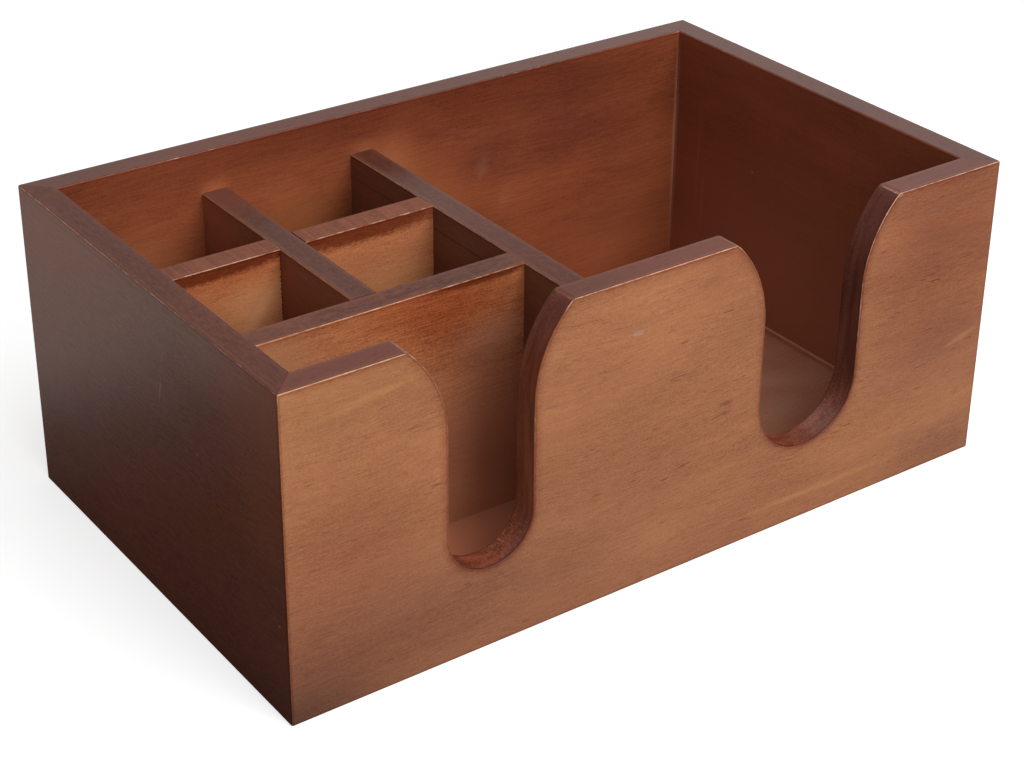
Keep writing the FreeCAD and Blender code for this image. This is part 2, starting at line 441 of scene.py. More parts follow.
@dataclass
class OuterBoards:
    """The four mitred boards, made as one ring and then sawn at the corners."""

    places: Places
    arris: float = 0.6 * MM
    arris_steps: int = 5
    seam: float = 0.06 * MM
    seam_steps: int = 1
    groove_play: float = 0.2 * MM
    nick_place: float = -6.3 * MM
    nick_radius: float = 0.5 * MM
    nick_sides: int = 7
    left_tab: float = 50.7 * MM
    condiment_width: float = 28.0 * MM
    napkin_width: float = 38.0 * MM
    right_tab: float = 54.8 * MM
    slots: tuple[SlotShape, ...] = field(init=False)

    def __post_init__(self) -> None:
        """Works out where the slots lie."""
        condiment_left = self.places.left + self.left_tab
        napkin_right = self.places.right - self.right_tab
        self.slots = (
            SlotShape(condiment_left, condiment_left + self.condiment_width),
            SlotShape(napkin_right - self.napkin_width, napkin_right),
        )

    def ring(self) -> bpy.types.Object:
        """Makes the four walls in one piece, slotted, eased and grooved.

        Returns:
            The ring.
        """
        p = self.places
        ring = block("wall_ring", (p.left, p.front, 0), (p.right, p.back, p.top))
        with Bench(ring) as bench:
            bench.pick_faces(lambda centre, normal: abs(normal.z) > 0.5)
            bpy.ops.mesh.inset(thickness=p.wall, depth=0)
            bench.pick_faces(
                lambda centre, normal: abs(normal.z) > 0.5 and abs(centre.x) + abs(centre.y) < SNAP
            )
            bpy.ops.mesh.bridge_edge_loops()
        for slot in self.slots:
            cut_away(ring, slot.cutter(p))
        with Bench(ring) as bench:
            bench.pick_edges(self.is_arris)
            bench.ease(self.arris, self.arris_steps)
        low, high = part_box("bottom_panel")
        play = Vector((self.groove_play, self.groove_play, 0))
        cut_away(ring, block("groove_cutter", low - play, high + play))
        near = (self.nick_place, p.front - OVERCUT, -self.nick_radius / 3)
        far = (self.nick_place, p.front + 2 * self.nick_radius, -self.nick_radius / 3)
        cut_away(ring, rod("nick_cutter", self.nick_radius, near, far, self.nick_sides))
        return ring

    def is_arris(self, a: Vector, b: Vector) -> bool:
        """Finds the edges that a maker eases: rim, slots, outer corners and outer base edge.

        Args:
            a: one end of the edge.
            b: its other end.

        Returns:
            Whether the edge is one of them.
        """
        p = self.places

        def both(axis: int, *planes: float) -> bool:
            """True where both ends lie on one of the planes."""
            return any(abs(a[axis] - v) < SNAP and abs(b[axis] - v) < SNAP for v in planes)

        outer_side = both(1, p.front, p.back)
        outer_end = both(0, p.left, p.right)
        inner_side = both(1, p.inner_front, p.inner_back)
        inner_end = both(0, p.inner_left, p.inner_right)
        rim = both(2, p.top) and (outer_side or outer_end or inner_side or inner_end)
        base = both(2, 0.0) and (outer_side or outer_end)
        corner = outer_side and outer_end
        slotted = both(1, p.front, p.inner_front) and min(a.z, b.z) > self.slots[0].sill - SNAP
        return rim or base or corner or slotted

    def build(self) -> dict[str, bpy.types.Object]:
        """Makes the four boards.

        Returns:
            The boards, by the name of the node that each replaces.
        """
        p = self.places
        ring = self.ring()
        corners = {}
        inward = {}
        for y_name, y, y_way in (("front", p.front, 1), ("back", p.back, -1)):
            for x_name, x, x_way in (("left", p.left, 1), ("right", p.right, -1)):
                corners[f"{y_name}_{x_name}"] = Vector((x, y, 0))
                inward[f"{y_name}_{x_name}"] = Vector((x_way, y_way, 0))
        ends = {
            "front_panel": ("front_left", "front_right"),
            "right_end_panel": ("front_right", "back_right"),
            "back_panel": ("back_right", "back_left"),
            "left_end_panel": ("back_left", "front_left"),
        }
        up = Vector((0, 0, 1))
        boards = {}
        for node, (start, end) in ends.items():
            board = copy_of(ring, node.replace("panel", "board"))
            start_normal = inward[start].cross(up) * -1
            end_normal = inward[end].cross(up)
            with Bench(board) as bench:
                bench.saw(corners[start], start_normal)
                bench.saw(corners[end], end_normal)
                planes = [(corners[start], start_normal), (corners[end], end_normal)]
                bench.pick_edges(
                    lambda a, b, planes=planes: any(
                        abs((a - co).dot(no)) < SNAP and abs((b - co).dot(no)) < SNAP
                        for co, no in planes
                    )
                )
                bench.ease(self.seam, self.seam_steps)
            boards[node] = board
        scrap(ring)
        return boards


# ---------------------------------------------------------------- floor, dividers and fillers


@dataclass
class InnerBoards:
    """The floor and the four dividers that stand on it."""

    places: Places
    arris: float = 0.5 * MM
    arris_steps: int = 4
    floor_arris: float = 0.3 * MM
    floor_arris_steps: int = 2
    lap_height: float = 47.85 * MM
    lap_play: float = 0.06 * MM
    lap_gap: float = 0.12 * MM
    tooth_depth: float = 0.65 * MM
    tooth_reach: Pair = (0.2, 1.0)
    tooth_wander: float = 0.25 * MM
    teeth: int = 60
    tooth_seed: int = 7

    def plank(self, node: str, along_x: bool) -> bpy.types.Object:
        """Makes a divider, squared, then eased along its top.

        Args:
            node: the node that it replaces.
            along_x: whether it runs along the caddy's length.

        Returns:
            The divider.
        """
        low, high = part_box(node)
        plank = block(node.replace("divider", "plank"), low, high)
        side = 1 if along_x else 0
        with Bench(plank) as bench:
            bench.pick_edges(
                lambda a, b: min(a.z, b.z) > high.z - SNAP and abs(a[side] - b[side]) < SNAP
            )
            bench.ease(self.arris, self.arris_steps)
        return plank

    def lap_cutter(self) -> bpy.types.Object:
        """Makes the tool that cuts the rear cross divider's notch, with torn fibres down one side.

        Returns:
            The cutting tool.
        """
        short_low, short_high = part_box("short_divider")
        low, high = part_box("rear_cross_divider")
        left = short_low.x - self.lap_play / 2
        tool = block(
            "lap_cutter",
            (left, low.y - OVERCUT, self.lap_height),
            (short_high.x + self.lap_gap, high.y + OVERCUT, high.z + OVERCUT),
        )
        front_y = low.y - OVERCUT
        with Bench(tool) as bench:
            bench.pick_edges(
                lambda a, b: abs(a.z - b.z) > OVERCUT and max(a.x, b.x) < left + SNAP
            )
            bpy.ops.mesh.subdivide(number_cuts=self.teeth)
            shape = bmesh.from_edit_mesh(tool.data)
            rows = sorted(
                (v for v in shape.verts if v.co.x < left + SNAP and v.co.y < front_y + SNAP),
                key=lambda v: v.co.z,
            )
            draw = random.Random(self.tooth_seed)
            for index, row in enumerate(rows[1:-1]):
                reach = draw.uniform(*self.tooth_reach) if index % 2 else 0.0
                row.co.x -= reach * self.tooth_depth
                row.co.z += draw.uniform(-1, 1) * self.tooth_wander
            bmesh.update_edit_mesh(tool.data)
            bench.pick_faces(lambda centre, normal: normal.x < -0.1)
            bpy.ops.mesh.quads_convert_to_tris()
        return tool

    def build(self) -> dict[str, bpy.types.Object]:
        """Makes the floor and the dividers.

        Returns:
            The boards, by the name of the node that each replaces.
        """
        low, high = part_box("bottom_panel")
        floor = block("floor_board", low, high)
        with Bench(floor) as bench:
            bench.pick_edges(lambda a, b: abs(a.z - b.z) < SNAP)
            bench.ease(self.floor_arris, self.floor_arris_steps)
        long_plank = self.plank("long_divider", along_x=False)
        short_plank = self.plank("short_divider", along_x=False)
        front_cross = self.plank("front_cross_divider", along_x=True)
        rear_cross = self.plank("rear_cross_divider", along_x=True)
        cross_low, cross_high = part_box("rear_cross_divider")
        short_low, short_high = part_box("short_divider")
        play = self.lap_play
        cut_away(
            short_plank,
            block(
                "short_lap_cutter",
                (short_low.x - OVERCUT, cross_low.y - play, short_low.z - OVERCUT),
                (short_high.x + OVERCUT, cross_high.y + play, self.lap_height),
            ),
        )
        cut_away(rear_cross, self.lap_cutter())
        return {
            "bottom_panel": floor,
            "long_divider": long_plank,
            "short_divider": short_plank,
            "front_cross_divider": front_cross,
            "rear_cross_divider": rear_cross,
        }


@dataclass
class FillerSpots:
    """The dished spots of filler over the two brads.

    Each dish ring has its width, as a share of half the spot's height, and its share of the dish's depth.
    """

    sides: int = 40
    dish: float = 0.12 * MM
    dish_rings: tuple[Pair, ...] = ((0.1, 0.0), (0.13, 0.36), (0.15, 0.64))
    play: float = 0.03 * MM

    def plug(self, name: str, node: str, extra: float) -> bpy.types.Object:
        """Makes an oval plug on a filler node's place.

        Args:
            name: the new piece's name.
            node: the filler's node.
            extra: how far it goes beyond the node, all round and outwards.

        Returns:
            The plug.
        """
        low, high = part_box(node)
        middle = (low + high) / 2
        outward = -1 if middle.y < 0 else 1
        face = low.y if outward < 0 else high.y
        root = high.y if outward < 0 else low.y
        plug = rod(name, 1.0, (0, face + outward * extra, 0), (0, root, 0), self.sides)
        take_up(plug)
        plug.scale = ((high.x - low.x) / 2 + extra, 1, (high.z - low.z) / 2 + extra)
        plug.location = (middle.x, 0, middle.z)
        set_place(plug)
        return plug

    def pocket(self, board: bpy.types.Object, node: str) -> None:
        """Cuts a filler's pocket into a board."""
        cut_away(board, self.plug("pocket_cutter", node, self.play))

    def build(self, name: str, node: str) -> bpy.types.Object:
        """Makes one spot of filler, sunk a little at its middle.

        Args:
            name: the new piece's name.
            node: the node that it replaces.

        Returns:
            The filler.
        """
        spot = self.plug(name, node, 0.0)
        low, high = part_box(node)
        outward = -1 if low.y < 0 else 1
        with Bench(spot) as bench:
            bench.pick_faces(lambda centre, normal: normal.y * outward > 0.9)
            width = (high.z - low.z) / 2
            for share, drop in self.dish_rings:
                bpy.ops.mesh.inset(thickness=width * share, depth=0)
                bpy.ops.transform.translate(value=(0, -outward * self.dish * drop, 0))
        return spot


# ---------------------------------------------------------------- node work


class Signal:
    """One output in a node tree, so that sums on it can be written as plain maths."""

    def __init__(self, pot: "Pot", socket: bpy.types.NodeSocket) -> None:
        """Keeps the tree and the socket."""
        self.pot = pot
        self.socket = socket

    def __add__(self, other: "Signal | float") -> "Signal":
        """Sum of two signals."""
        return self.pot.maths("ADD", self, other)

    __radd__ = __add__

    def __sub__(self, other: "Signal | float") -> "Signal":
        """Difference of two signals."""
        return self.pot.maths("SUBTRACT", self, other)

    def __rsub__(self, other: "Signal | float") -> "Signal":
        """Difference of a number and a signal."""
        return self.pot.maths("SUBTRACT", other, self)

    def __mul__(self, other: "Signal | float") -> "Signal":
        """Product of two signals."""
        return self.pot.maths("MULTIPLY", self, other)

    __rmul__ = __mul__

    def __truediv__(self, other: "Signal | float") -> "Signal":
        """Quotient of two signals."""
        return self.pot.maths("DIVIDE", self, other)

    def size(self) -> "Signal":
        """Value without its sign."""
        return self.pot.maths("ABSOLUTE", self)


Value = "Signal | float | Sequence[float]"


class Pot:
    """A node tree in which a finish is mixed."""

    def __init__(self, tree: bpy.types.NodeTree) -> None:
        """Keeps the tree."""
        self.tree = tree

    def node(self, kind: str, **settings: object) -> bpy.types.Node:
        """Places a node.

        Args:
            kind: its type, without the ShaderNode in front.
            **settings: its properties.

        Returns:
            The node.
        """
        node = self.tree.nodes.new("ShaderNode" + kind)
        for name, value in settings.items():
            setattr(node, name, value)
        return node

    def feed(self, socket: bpy.types.NodeSocket, value: Value) -> None:
        """Links a signal to a socket, or writes a number on it.

        Args:
            socket: the input.
            value: the signal, number or colour.
        """
        if isinstance(value, Signal):
            self.tree.links.new(value.socket, socket)
        elif socket.type == "RGBA" and len(value) == 3:
            socket.default_value = (*value, 1.0)
        else:
            socket.default_value = value

    def out(self, node: bpy.types.Node, name: str | int = 0) -> Signal:
        """One of a node's outputs."""
        return Signal(self, node.outputs[name])

    def maths(self, operation: str, *values: "Signal | float") -> Signal:
        """Works out a sum.

        Args:
            operation: what the Math node does.
            *values: what goes into it.

        Returns:
            The result.
        """
        node = self.node("Math", operation=operation)
        for socket, value in zip(node.inputs, values):
            self.feed(socket, value)
        return self.out(node)

    def lowest(self, *values: Value) -> Signal:
        """Lowest of some values."""
        return reduce(partial(self.maths, "MINIMUM"), values)

    def highest(self, *values: Value) -> Signal:
        """Highest of some values."""
        return reduce(partial(self.maths, "MAXIMUM"), values)

    def diagonal(self, first: Signal, second: Signal) -> Signal:
        """Length of the diagonal over two sides."""
        return self.maths("SQRT", first * first + second * second)

    def choose(self, test: Signal, yes: Value, no: Value) -> Signal:
        """One value where a test is 1, and another where it is 0."""
        return test * (yes - no) + no

    def fade(
        self, value: Signal, start: Value, end: Value, low: Value = 0.0, high: Value = 1.0
    ) -> Signal:
        """Changes smoothly as a value passes from one place to another.

        Args:
            value: the value.
            start: where the change starts.
            end: where it is complete.
            low: the result up to the start.
            high: the result from the end on.

        Returns:
            The result.
        """
        node = self.node("MapRange", interpolation_type="SMOOTHSTEP", clamp=True)
        for name, number in zip(
            ("Value", "From Min", "From Max", "To Min", "To Max"), (value, start, end, low, high)
        ):
            self.feed(node.inputs[name], number)
        return self.out(node)

    def axes(self, vector: Signal) -> tuple[Signal, Signal, Signal]:
        """Takes a vector apart.

        Args:
            vector: the vector.

        Returns:
            Its three parts.
        """
        node = self.node("SeparateXYZ")
        self.feed(node.inputs[0], vector)
        return self.out(node, 0), self.out(node, 1), self.out(node, 2)

    def point(self, x: Value, y: Value, z: Value) -> Signal:
        """Puts a vector together.

        Args:
            x: its first part.
            y: its second part.
            z: its third part.

        Returns:
            The vector.
        """
        node = self.node("CombineXYZ")
        for socket, value in zip(node.inputs, (x, y, z)):
            self.feed(socket, value)
        return self.out(node)

    def noise(self, place: Signal, detail: float = 2.0, roughness: float = 0.5) -> Signal:
        """Makes smooth noise, one unit to a lump.

        Args:
            place: the place in it.
            detail: how many finer layers it has.
            roughness: how strong the finer layers are.

        Returns:
            The noise, from 0 to 1.
        """
        node = self.node("TexNoise", noise_dimensions="3D")
        self.feed(node.inputs["Vector"], place)
        node.inputs["Scale"].default_value = 1.0
        node.inputs["Detail"].default_value = detail
        node.inputs["Roughness"].default_value = roughness
        return self.out(node, "Fac")

    def blend(self, share: Value, first: Value, second: Value, mode: str = "MIX") -> Signal:
        """Mixes two colours.

        Args:
            share: the second colour's share.
            first: the first colour.
            second: the second colour.
            mode: how the second is laid on the first.

        Returns:
            The mixed colour.
        """
        node = self.node("Mix", data_type="RGBA", blend_type=mode, clamp_factor=True)
        self.feed(node.inputs[0], share)
        self.feed(node.inputs[6], first)
        self.feed(node.inputs[7], second)
        return self.out(node, 2)

    def glaze(self, share: Value, layer: Value, colour: Value) -> Signal:
        """A colour seen through a coloured glaze."""
        return self.blend(share, layer, colour, "MULTIPLY")

    def use(self, group: bpy.types.NodeTree, **inputs: Value) -> dict[str, Signal]:
        """Places a group.

        Args:
            group: the group's tree.
            **inputs: its inputs, by name, with underscores for spaces.

        Returns:
            Its outputs, by name.
        """
        node = self.node("Group")
        node.node_tree = group
        for name, value in inputs.items():
            self.feed(node.inputs[name.replace("_", " ")], value)
        return {socket.name: Signal(self, socket) for socket in node.outputs}

    def dress(self, **inputs: Value) -> None:
        """Feeds the finish's shader.

        Args:
            **inputs: its inputs, by name, with underscores for spaces.
        """
        shader = self.tree.nodes["Principled BSDF"]
        for name, value in inputs.items():
            self.feed(shader.inputs[name.replace("_", " ")], value)

    def bump(self, height: Signal, strength: float, distance: float) -> None:
        """Gives the finish's shader its relief.

        Args:
            height: the relief's height, from about 0 to 1.
            strength: how strongly it shows.
            distance: how high it stands at 1, in metres.
        """
        node = self.node("Bump")
        self.feed(node.inputs["Strength"], strength)
        self.feed(node.inputs["Distance"], distance)
        self.feed(node.inputs["Height"], height)
        self.dress(Normal=self.out(node))


@dataclass(frozen=True)
class Lumps:
    """Noise with lumps of a size along each axis, in metres."""

    x: float
    y: float
    z: float
    detail: float = 2.0

    def lay(self, pot: Pot, x: Value, y: Value, z: Value) -> Signal:
        """Lays the noise over a place."""
        return pot.noise(pot.point(x / self.x, y / self.y, z / self.z), self.detail)


def new_finish(name: str) -> tuple[Pot, bpy.types.Material]:
    """Starts a material.

    Args:
        name: its name.

    Returns:
        The pot that it is mixed in, and the material.
    """
    material = bpy.data.materials.new(name)
    material.use_nodes = True
    return Pot(material.node_tree), material


Profile = Callable[[Pot, Signal, Signal, Signal], Signal]
Recipe = Callable[[Pot, dict[str, Signal]], dict[str, Signal]]


def make_group(name: str, recipe: Recipe, *inputs: str) -> bpy.types.NodeTree:
    """Makes a shared node group.

    Args:
        name: the group's name.
        recipe: fills the group, from its inputs to its outputs.
        *inputs: the names of its number inputs.

    Returns:
        The group's tree.
    """
    tree = bpy.data.node_groups.new(name, "ShaderNodeTree")
    for label in inputs:
        tree.interface.new_socket(label, in_out="INPUT", socket_type="NodeSocketFloat")
    entry = tree.nodes.new("NodeGroupInput")
    pot = Pot(tree)
    results = recipe(pot, {label: pot.out(entry, label) for label in inputs})
    for label in results:
        tree.interface.new_socket(label, in_out="OUTPUT", socket_type="NodeSocketFloat")
    leave = tree.nodes.new("NodeGroupOutput")
    for label, result in results.items():
        pot.feed(leave.inputs[label], result)
    return tree


@dataclass(frozen=True)
class Layer:
    """One part of the wood's figure: noise drawn out along the grain, with its lumps' size in metres."""

    length: float
    width: float
    depth: float
    detail: float = 2.0
    roughness: float = 0.5

    def lay(self, pot: Pot, along: Signal, across: Signal, through: Signal, seed: Signal) -> Signal:
        """Lays the noise.

        Args:
            pot: the group's tree.
            along: the place along the board.
            across: the place across it.
            through: the place through its thickness.
            seed: moves the noise, so that no two boards are alike.

        Returns:
            The noise, from 0 to 1.
        """
        shift = seed * SEED_STEP
        place = pot.point(
            along / self.length + shift, across / self.width + seed, through / self.depth + shift
        )
        return pot.noise(place, self.detail, self.roughness)


SEED_STEP = 3.7
SWAY_LENGTH = 0.07
SWAY_WIDTH = 0.05
SWAY_ACROSS = 0.009
SWAY_THROUGH = 0.004
FIBRE_SHARE = 0.85
GRIT_SHARE = 0.6
PORE_SHARE = (0.655, 0.73)
PATCH_SHARE = (0.48, 0.64)
CLOUDS = Layer(0.06, 0.026, 0.03)
BANDS = Layer(0.09, 0.005, 0.009, 2.5, 0.6)
STREAKS = Layer(0.016, 0.0009, 0.0016, 3.0, 0.62)
LONG_FIBRES = Layer(0.005, 0.00026, 0.0004, 2.0, 0.7)
GRIT = Layer(0.0007, 0.0004, 0.0005, 1.0)
MOTTLE = Layer(0.0026, 0.0014, 0.0014, 4.0, 0.7)
FLECKS = Layer(0.0062, 0.00042, 0.0005, 1.0)
PORE_PATCHES = Layer(0.018, 0.006, 0.006)
CHATTER = Lumps(0.0007, 0.02, 0.02, 1.0)


def figure_recipe(pot: Pot, given: dict[str, Signal]) -> dict[str, Signal]:
    """Figure of fine, straight-grained wood, from slow clouds down to pores.

    Args:
        pot: the group's tree.
        given: the place along, across and through the board, in metres, and a seed.

    Returns:
        The figure's parts, each from 0 to 1 or nearly so.
    """
    along, across, through, seed = (given[n] for n in ("Along", "Across", "Through", "Seed"))
    swaying = pot.point(along / SWAY_LENGTH + seed * SEED_STEP, across / SWAY_WIDTH, seed)
    sway = pot.noise(swaying, 1.0) - 0.5
    across = across + sway * SWAY_ACROSS
    through = through + sway * SWAY_THROUGH
    place = (pot, along, across, through, seed)
    flecks = pot.fade(FLECKS.lay(*place), *PORE_SHARE)
    patches = pot.fade(PORE_PATCHES.lay(*place), *PATCH_SHARE)
    fibres = (LONG_FIBRES.lay(*place) - 0.5) * FIBRE_SHARE
    return {
        "Clouds": CLOUDS.lay(*place),
        "Bands": BANDS.lay(*place),
        "Streaks": STREAKS.lay(*place),
        "Fibres": fibres + (GRIT.lay(*place) - 0.5) * GRIT_SHARE + 0.5,
        "Mottle": MOTTLE.lay(*place),
        "Pores": flecks * patches,
        "Chatter": CHATTER.lay(pot, along, across, through),
    }


SLOW_WEAR = (0.035, 2.0)
QUICK_WEAR = (0.0035, 2.0)
FINE_WEAR = (0.0009, 1.0)
WORN_END = (0.55, 1.25)
STAIN_START = (0.9, 1.6)
STAIN_END = (2.2, 4.0)


def wear_recipe(pot: Pot, given: dict[str, Signal]) -> dict[str, Signal]:
    """Broken pale line along an arris, with the darker line where stain gathered beside it.

    Args:
        pot: the group's tree.
        given: the distance from the arris, the place, the line's width and how much of it is left.

    Returns:
        The worn line and the stain line, each from 0 to 1.
    """
    distance, seed = given["Distance"], given["Seed"]
    x, y, z = given["X"], given["Y"], given["Z"]

    def along(scale: float, detail: float) -> Signal:
        """Noise with lumps of one size in metres."""
        return pot.noise(pot.point(x / scale + seed, y / scale, z / scale), detail)

    slow = along(*SLOW_WEAR)
    quick = along(*QUICK_WEAR)
    fine = along(*FINE_WEAR)
    width = given["Width"] * (0.5 + quick * 0.7 + (fine - 0.5) * 0.35)
    amount = given["Amount"]
    kept = pot.fade(slow * 0.55 + quick * 0.45 + amount * 0.5, 0.56, 0.82)
    line = 1.0 - pot.fade(distance, *(width * share for share in WORN_END))
    stain = pot.fade(distance, *(width * share for share in STAIN_START))
    stain = stain * (1.0 - pot.fade(distance, *(width * share for share in STAIN_END)))
    return {"Worn": line * kept, "Stain": stain * (0.4 + slow * 0.9)}


TORN = Lumps(0.0016, 0.0007, 1 / 91)


def blemish_recipe(pot: Pot, given: dict[str, Signal]) -> dict[str, Signal]:
    """Soft-edged oval mark with a slightly torn outline.

    Args:
        pot: the group's tree.
        given: the place, the mark's centre, half length, half width, tilt, softness and tear.

    Returns:
        The mark, from 0 to 1.
    """
    along = given["Along"] - given["Centre Along"]
    height = given["Height"] - given["Centre Height"]
    turn, rise = pot.maths("COSINE", given["Tilt"]), pot.maths("SINE", given["Tilt"])
    length = (along * turn + height * rise) / given["Half Length"]
    width = (height * turn - along * rise) / given["Half Width"]
    torn = TORN.lay(pot, along, height, given["Centre Along"])
    reach = pot.diagonal(length, width) + (torn - 0.5) * given["Tear"]
    return {"Mark": 1.0 - pot.fade(reach, 1.0 - given["Softness"], 1.0)}


def slot_recipe(pot: Pot, given: dict[str, Signal]) -> dict[str, Signal]:
    """Distance from a U-slot's outline, out into the wood.

    Args:
        pot: the group's tree.
        given: the place, the slot's centre, half width, round height and shoulder.

    Returns:
        The distance, in metres.
    """
    aside = (given["Along"] - given["Centre"]).size()
    height = given["Height"]
    half = given["Half Width"]
    radius = given["Shoulder Radius"]
    below = pot.diagonal(aside, pot.lowest(height - given["Round Height"], 0.0)) - half
    edge = half + radius
    above = radius - pot.diagonal(
        pot.lowest(aside, edge) - edge, height - given["Shoulder Height"]
    )
    higher = pot.maths("GREATER_THAN", height, given["Shoulder Height"])
    return {"Distance": pot.choose(higher, above, below)}


@dataclass(frozen=True)
class Groups:
    """The node groups that the finishes share."""

    figure: bpy.types.NodeTree
    wear: bpy.types.NodeTree
    blemish: bpy.types.NodeTree
    slot: bpy.types.NodeTree


def make_groups() -> Groups:
    """Makes the shared node groups.

    Returns:
        The groups.
    """
    place = ("Along", "Height")
    mark = ("Centre Along", "Centre Height", "Half Length", "Half Width", "Tilt", "Softness", "Tear")
    slot = ("Centre", "Half Width", "Round Height", "Shoulder Height", "Shoulder Radius")
    arris = ("Distance", "X", "Y", "Z", "Width", "Amount", "Seed")
    return Groups(
        figure=make_group("wood figure", figure_recipe, "Along", "Across", "Through", "Seed"),
        wear=make_group("arris wear", wear_recipe, *arris),
        blemish=make_group("blemish", blemish_recipe, *place, *mark),
        slot=make_group("slot outline", slot_recipe, *place, *slot),
    )


# ---------------------------------------------------------------- finishes


class Lie(Enum):
    """Which way a board lies, and where its outer face looks."""

    FACES_FRONT = "front"
    FACES_BACK = "back"
    FACES_LEFT = "left"
    FACES_RIGHT = "right"
    FACES_UP = "up"


@dataclass(frozen=True)
class Tone:
    """A stained face's lightest and darkest colour."""

    light: Colour
    dark: Colour

    def mixed(self, pot: Pot, share: Signal) -> Signal:
        """The stain's colour, by the share of the lightest."""
        return pot.blend(share, self.dark, self.light)


class Side(Enum):
    """The side of a board that a mark is on."""

    OUTER = "outer"
    INNER = "inner"
    EDGE = "edge"


@dataclass(frozen=True)
class Mark:
    """A soft oval mark on a board, in millimetres and degrees, which hides what is under it.

    Its tear is how ragged its outline is.
    """

    along: float
    height: float
    half_length: float
    half_width: float
    strength: float
    colour: Colour
    tilt: float = 0.0
    softness: float = 1.0
    tear: float = 0.2
    side: Side = Side.OUTER

    def lay(self, pot: Pot, share: Signal, under: Signal) -> Signal:
        """The colour under the mark, hidden by a share."""
        return pot.blend(share, under, self.colour)


@dataclass(frozen=True)
class Fleck(Mark):
    """A small ragged mark, such as a knot, a smudge or a scratch."""

    softness: float = 0.8
    tear: float = 0.9


@dataclass(frozen=True)
class Shade(Mark):
    """A wide even mark that darkens what is under it: a second coat of stain in some places, and painted
    shade in others.
    """

    tear: float = 0.0

    def lay(self, pot: Pot, share: Signal, under: Signal) -> Signal:
        """The colour under the mark, darkened by a share."""
        return pot.glaze(share, under, self.colour)


def on_side(side: Side, *marks: Mark) -> tuple[Mark, ...]:
    """Moves marks to one side of their board."""
    return tuple(replace(mark, side=side) for mark in marks)


@dataclass(frozen=True)
class Grain:
    """How strongly each part of the wood's figure shows."""

    clouds: float = 0.9
    bands: float = 0.35
    streaks: float = 0.45
    fibres: float = 1.0
    mottle: float = 1.0
    pores: float = 0.5
    chatter: float = 0.0


@dataclass(frozen=True)
class Gloss:
    """How much lacquer each face kept, and how much thicker, or thinner below 0, it lies in places.

    The places are parts of the edge, each with the run over which it comes or goes, and the outer face's
    far upper corner.
    """

    outer: float = 0.1
    inner: float = 0.05
    edge: float = 0.25
    edge_front: float = 0.0
    edge_back: float = 0.0
    edge_right: float = 0.0
    far_corner: float = 0.0
    front_run: Pair = (-12 * MM, 52 * MM)
    back_run: Pair = (36 * MM, 68 * MM)
    right_run: Pair = (-70 * MM, 110 * MM)
    far_slope: float = 0.84
    far_wave: Lumps = Lumps(0.05, 1.0, 0.03, 1.0)
    far_wave_share: float = 0.08
    far_grain_share: float = 0.28


@dataclass(frozen=True)
class Reading:
    """What a finish reads at each point of a board: the place, the distances and the wood's figure."""

    pot: Pot
    groups: Groups
    low: Vector
    high: Vector
    thickness: float
    x: Signal
    y: Signal
    z: Signal
    along: Signal
    across: Signal
    depth: Signal
    outline: Signal
    arris: Signal
    on_outer: Signal
    on_inner: Signal
    figure: dict[str, Signal]
    fine: Signal

    def below_top(self, drop: Pair) -> Pair:
        """Heights that lie a pair of drops below the board's top."""
        return self.high.z - drop[0], self.high.z - drop[1]


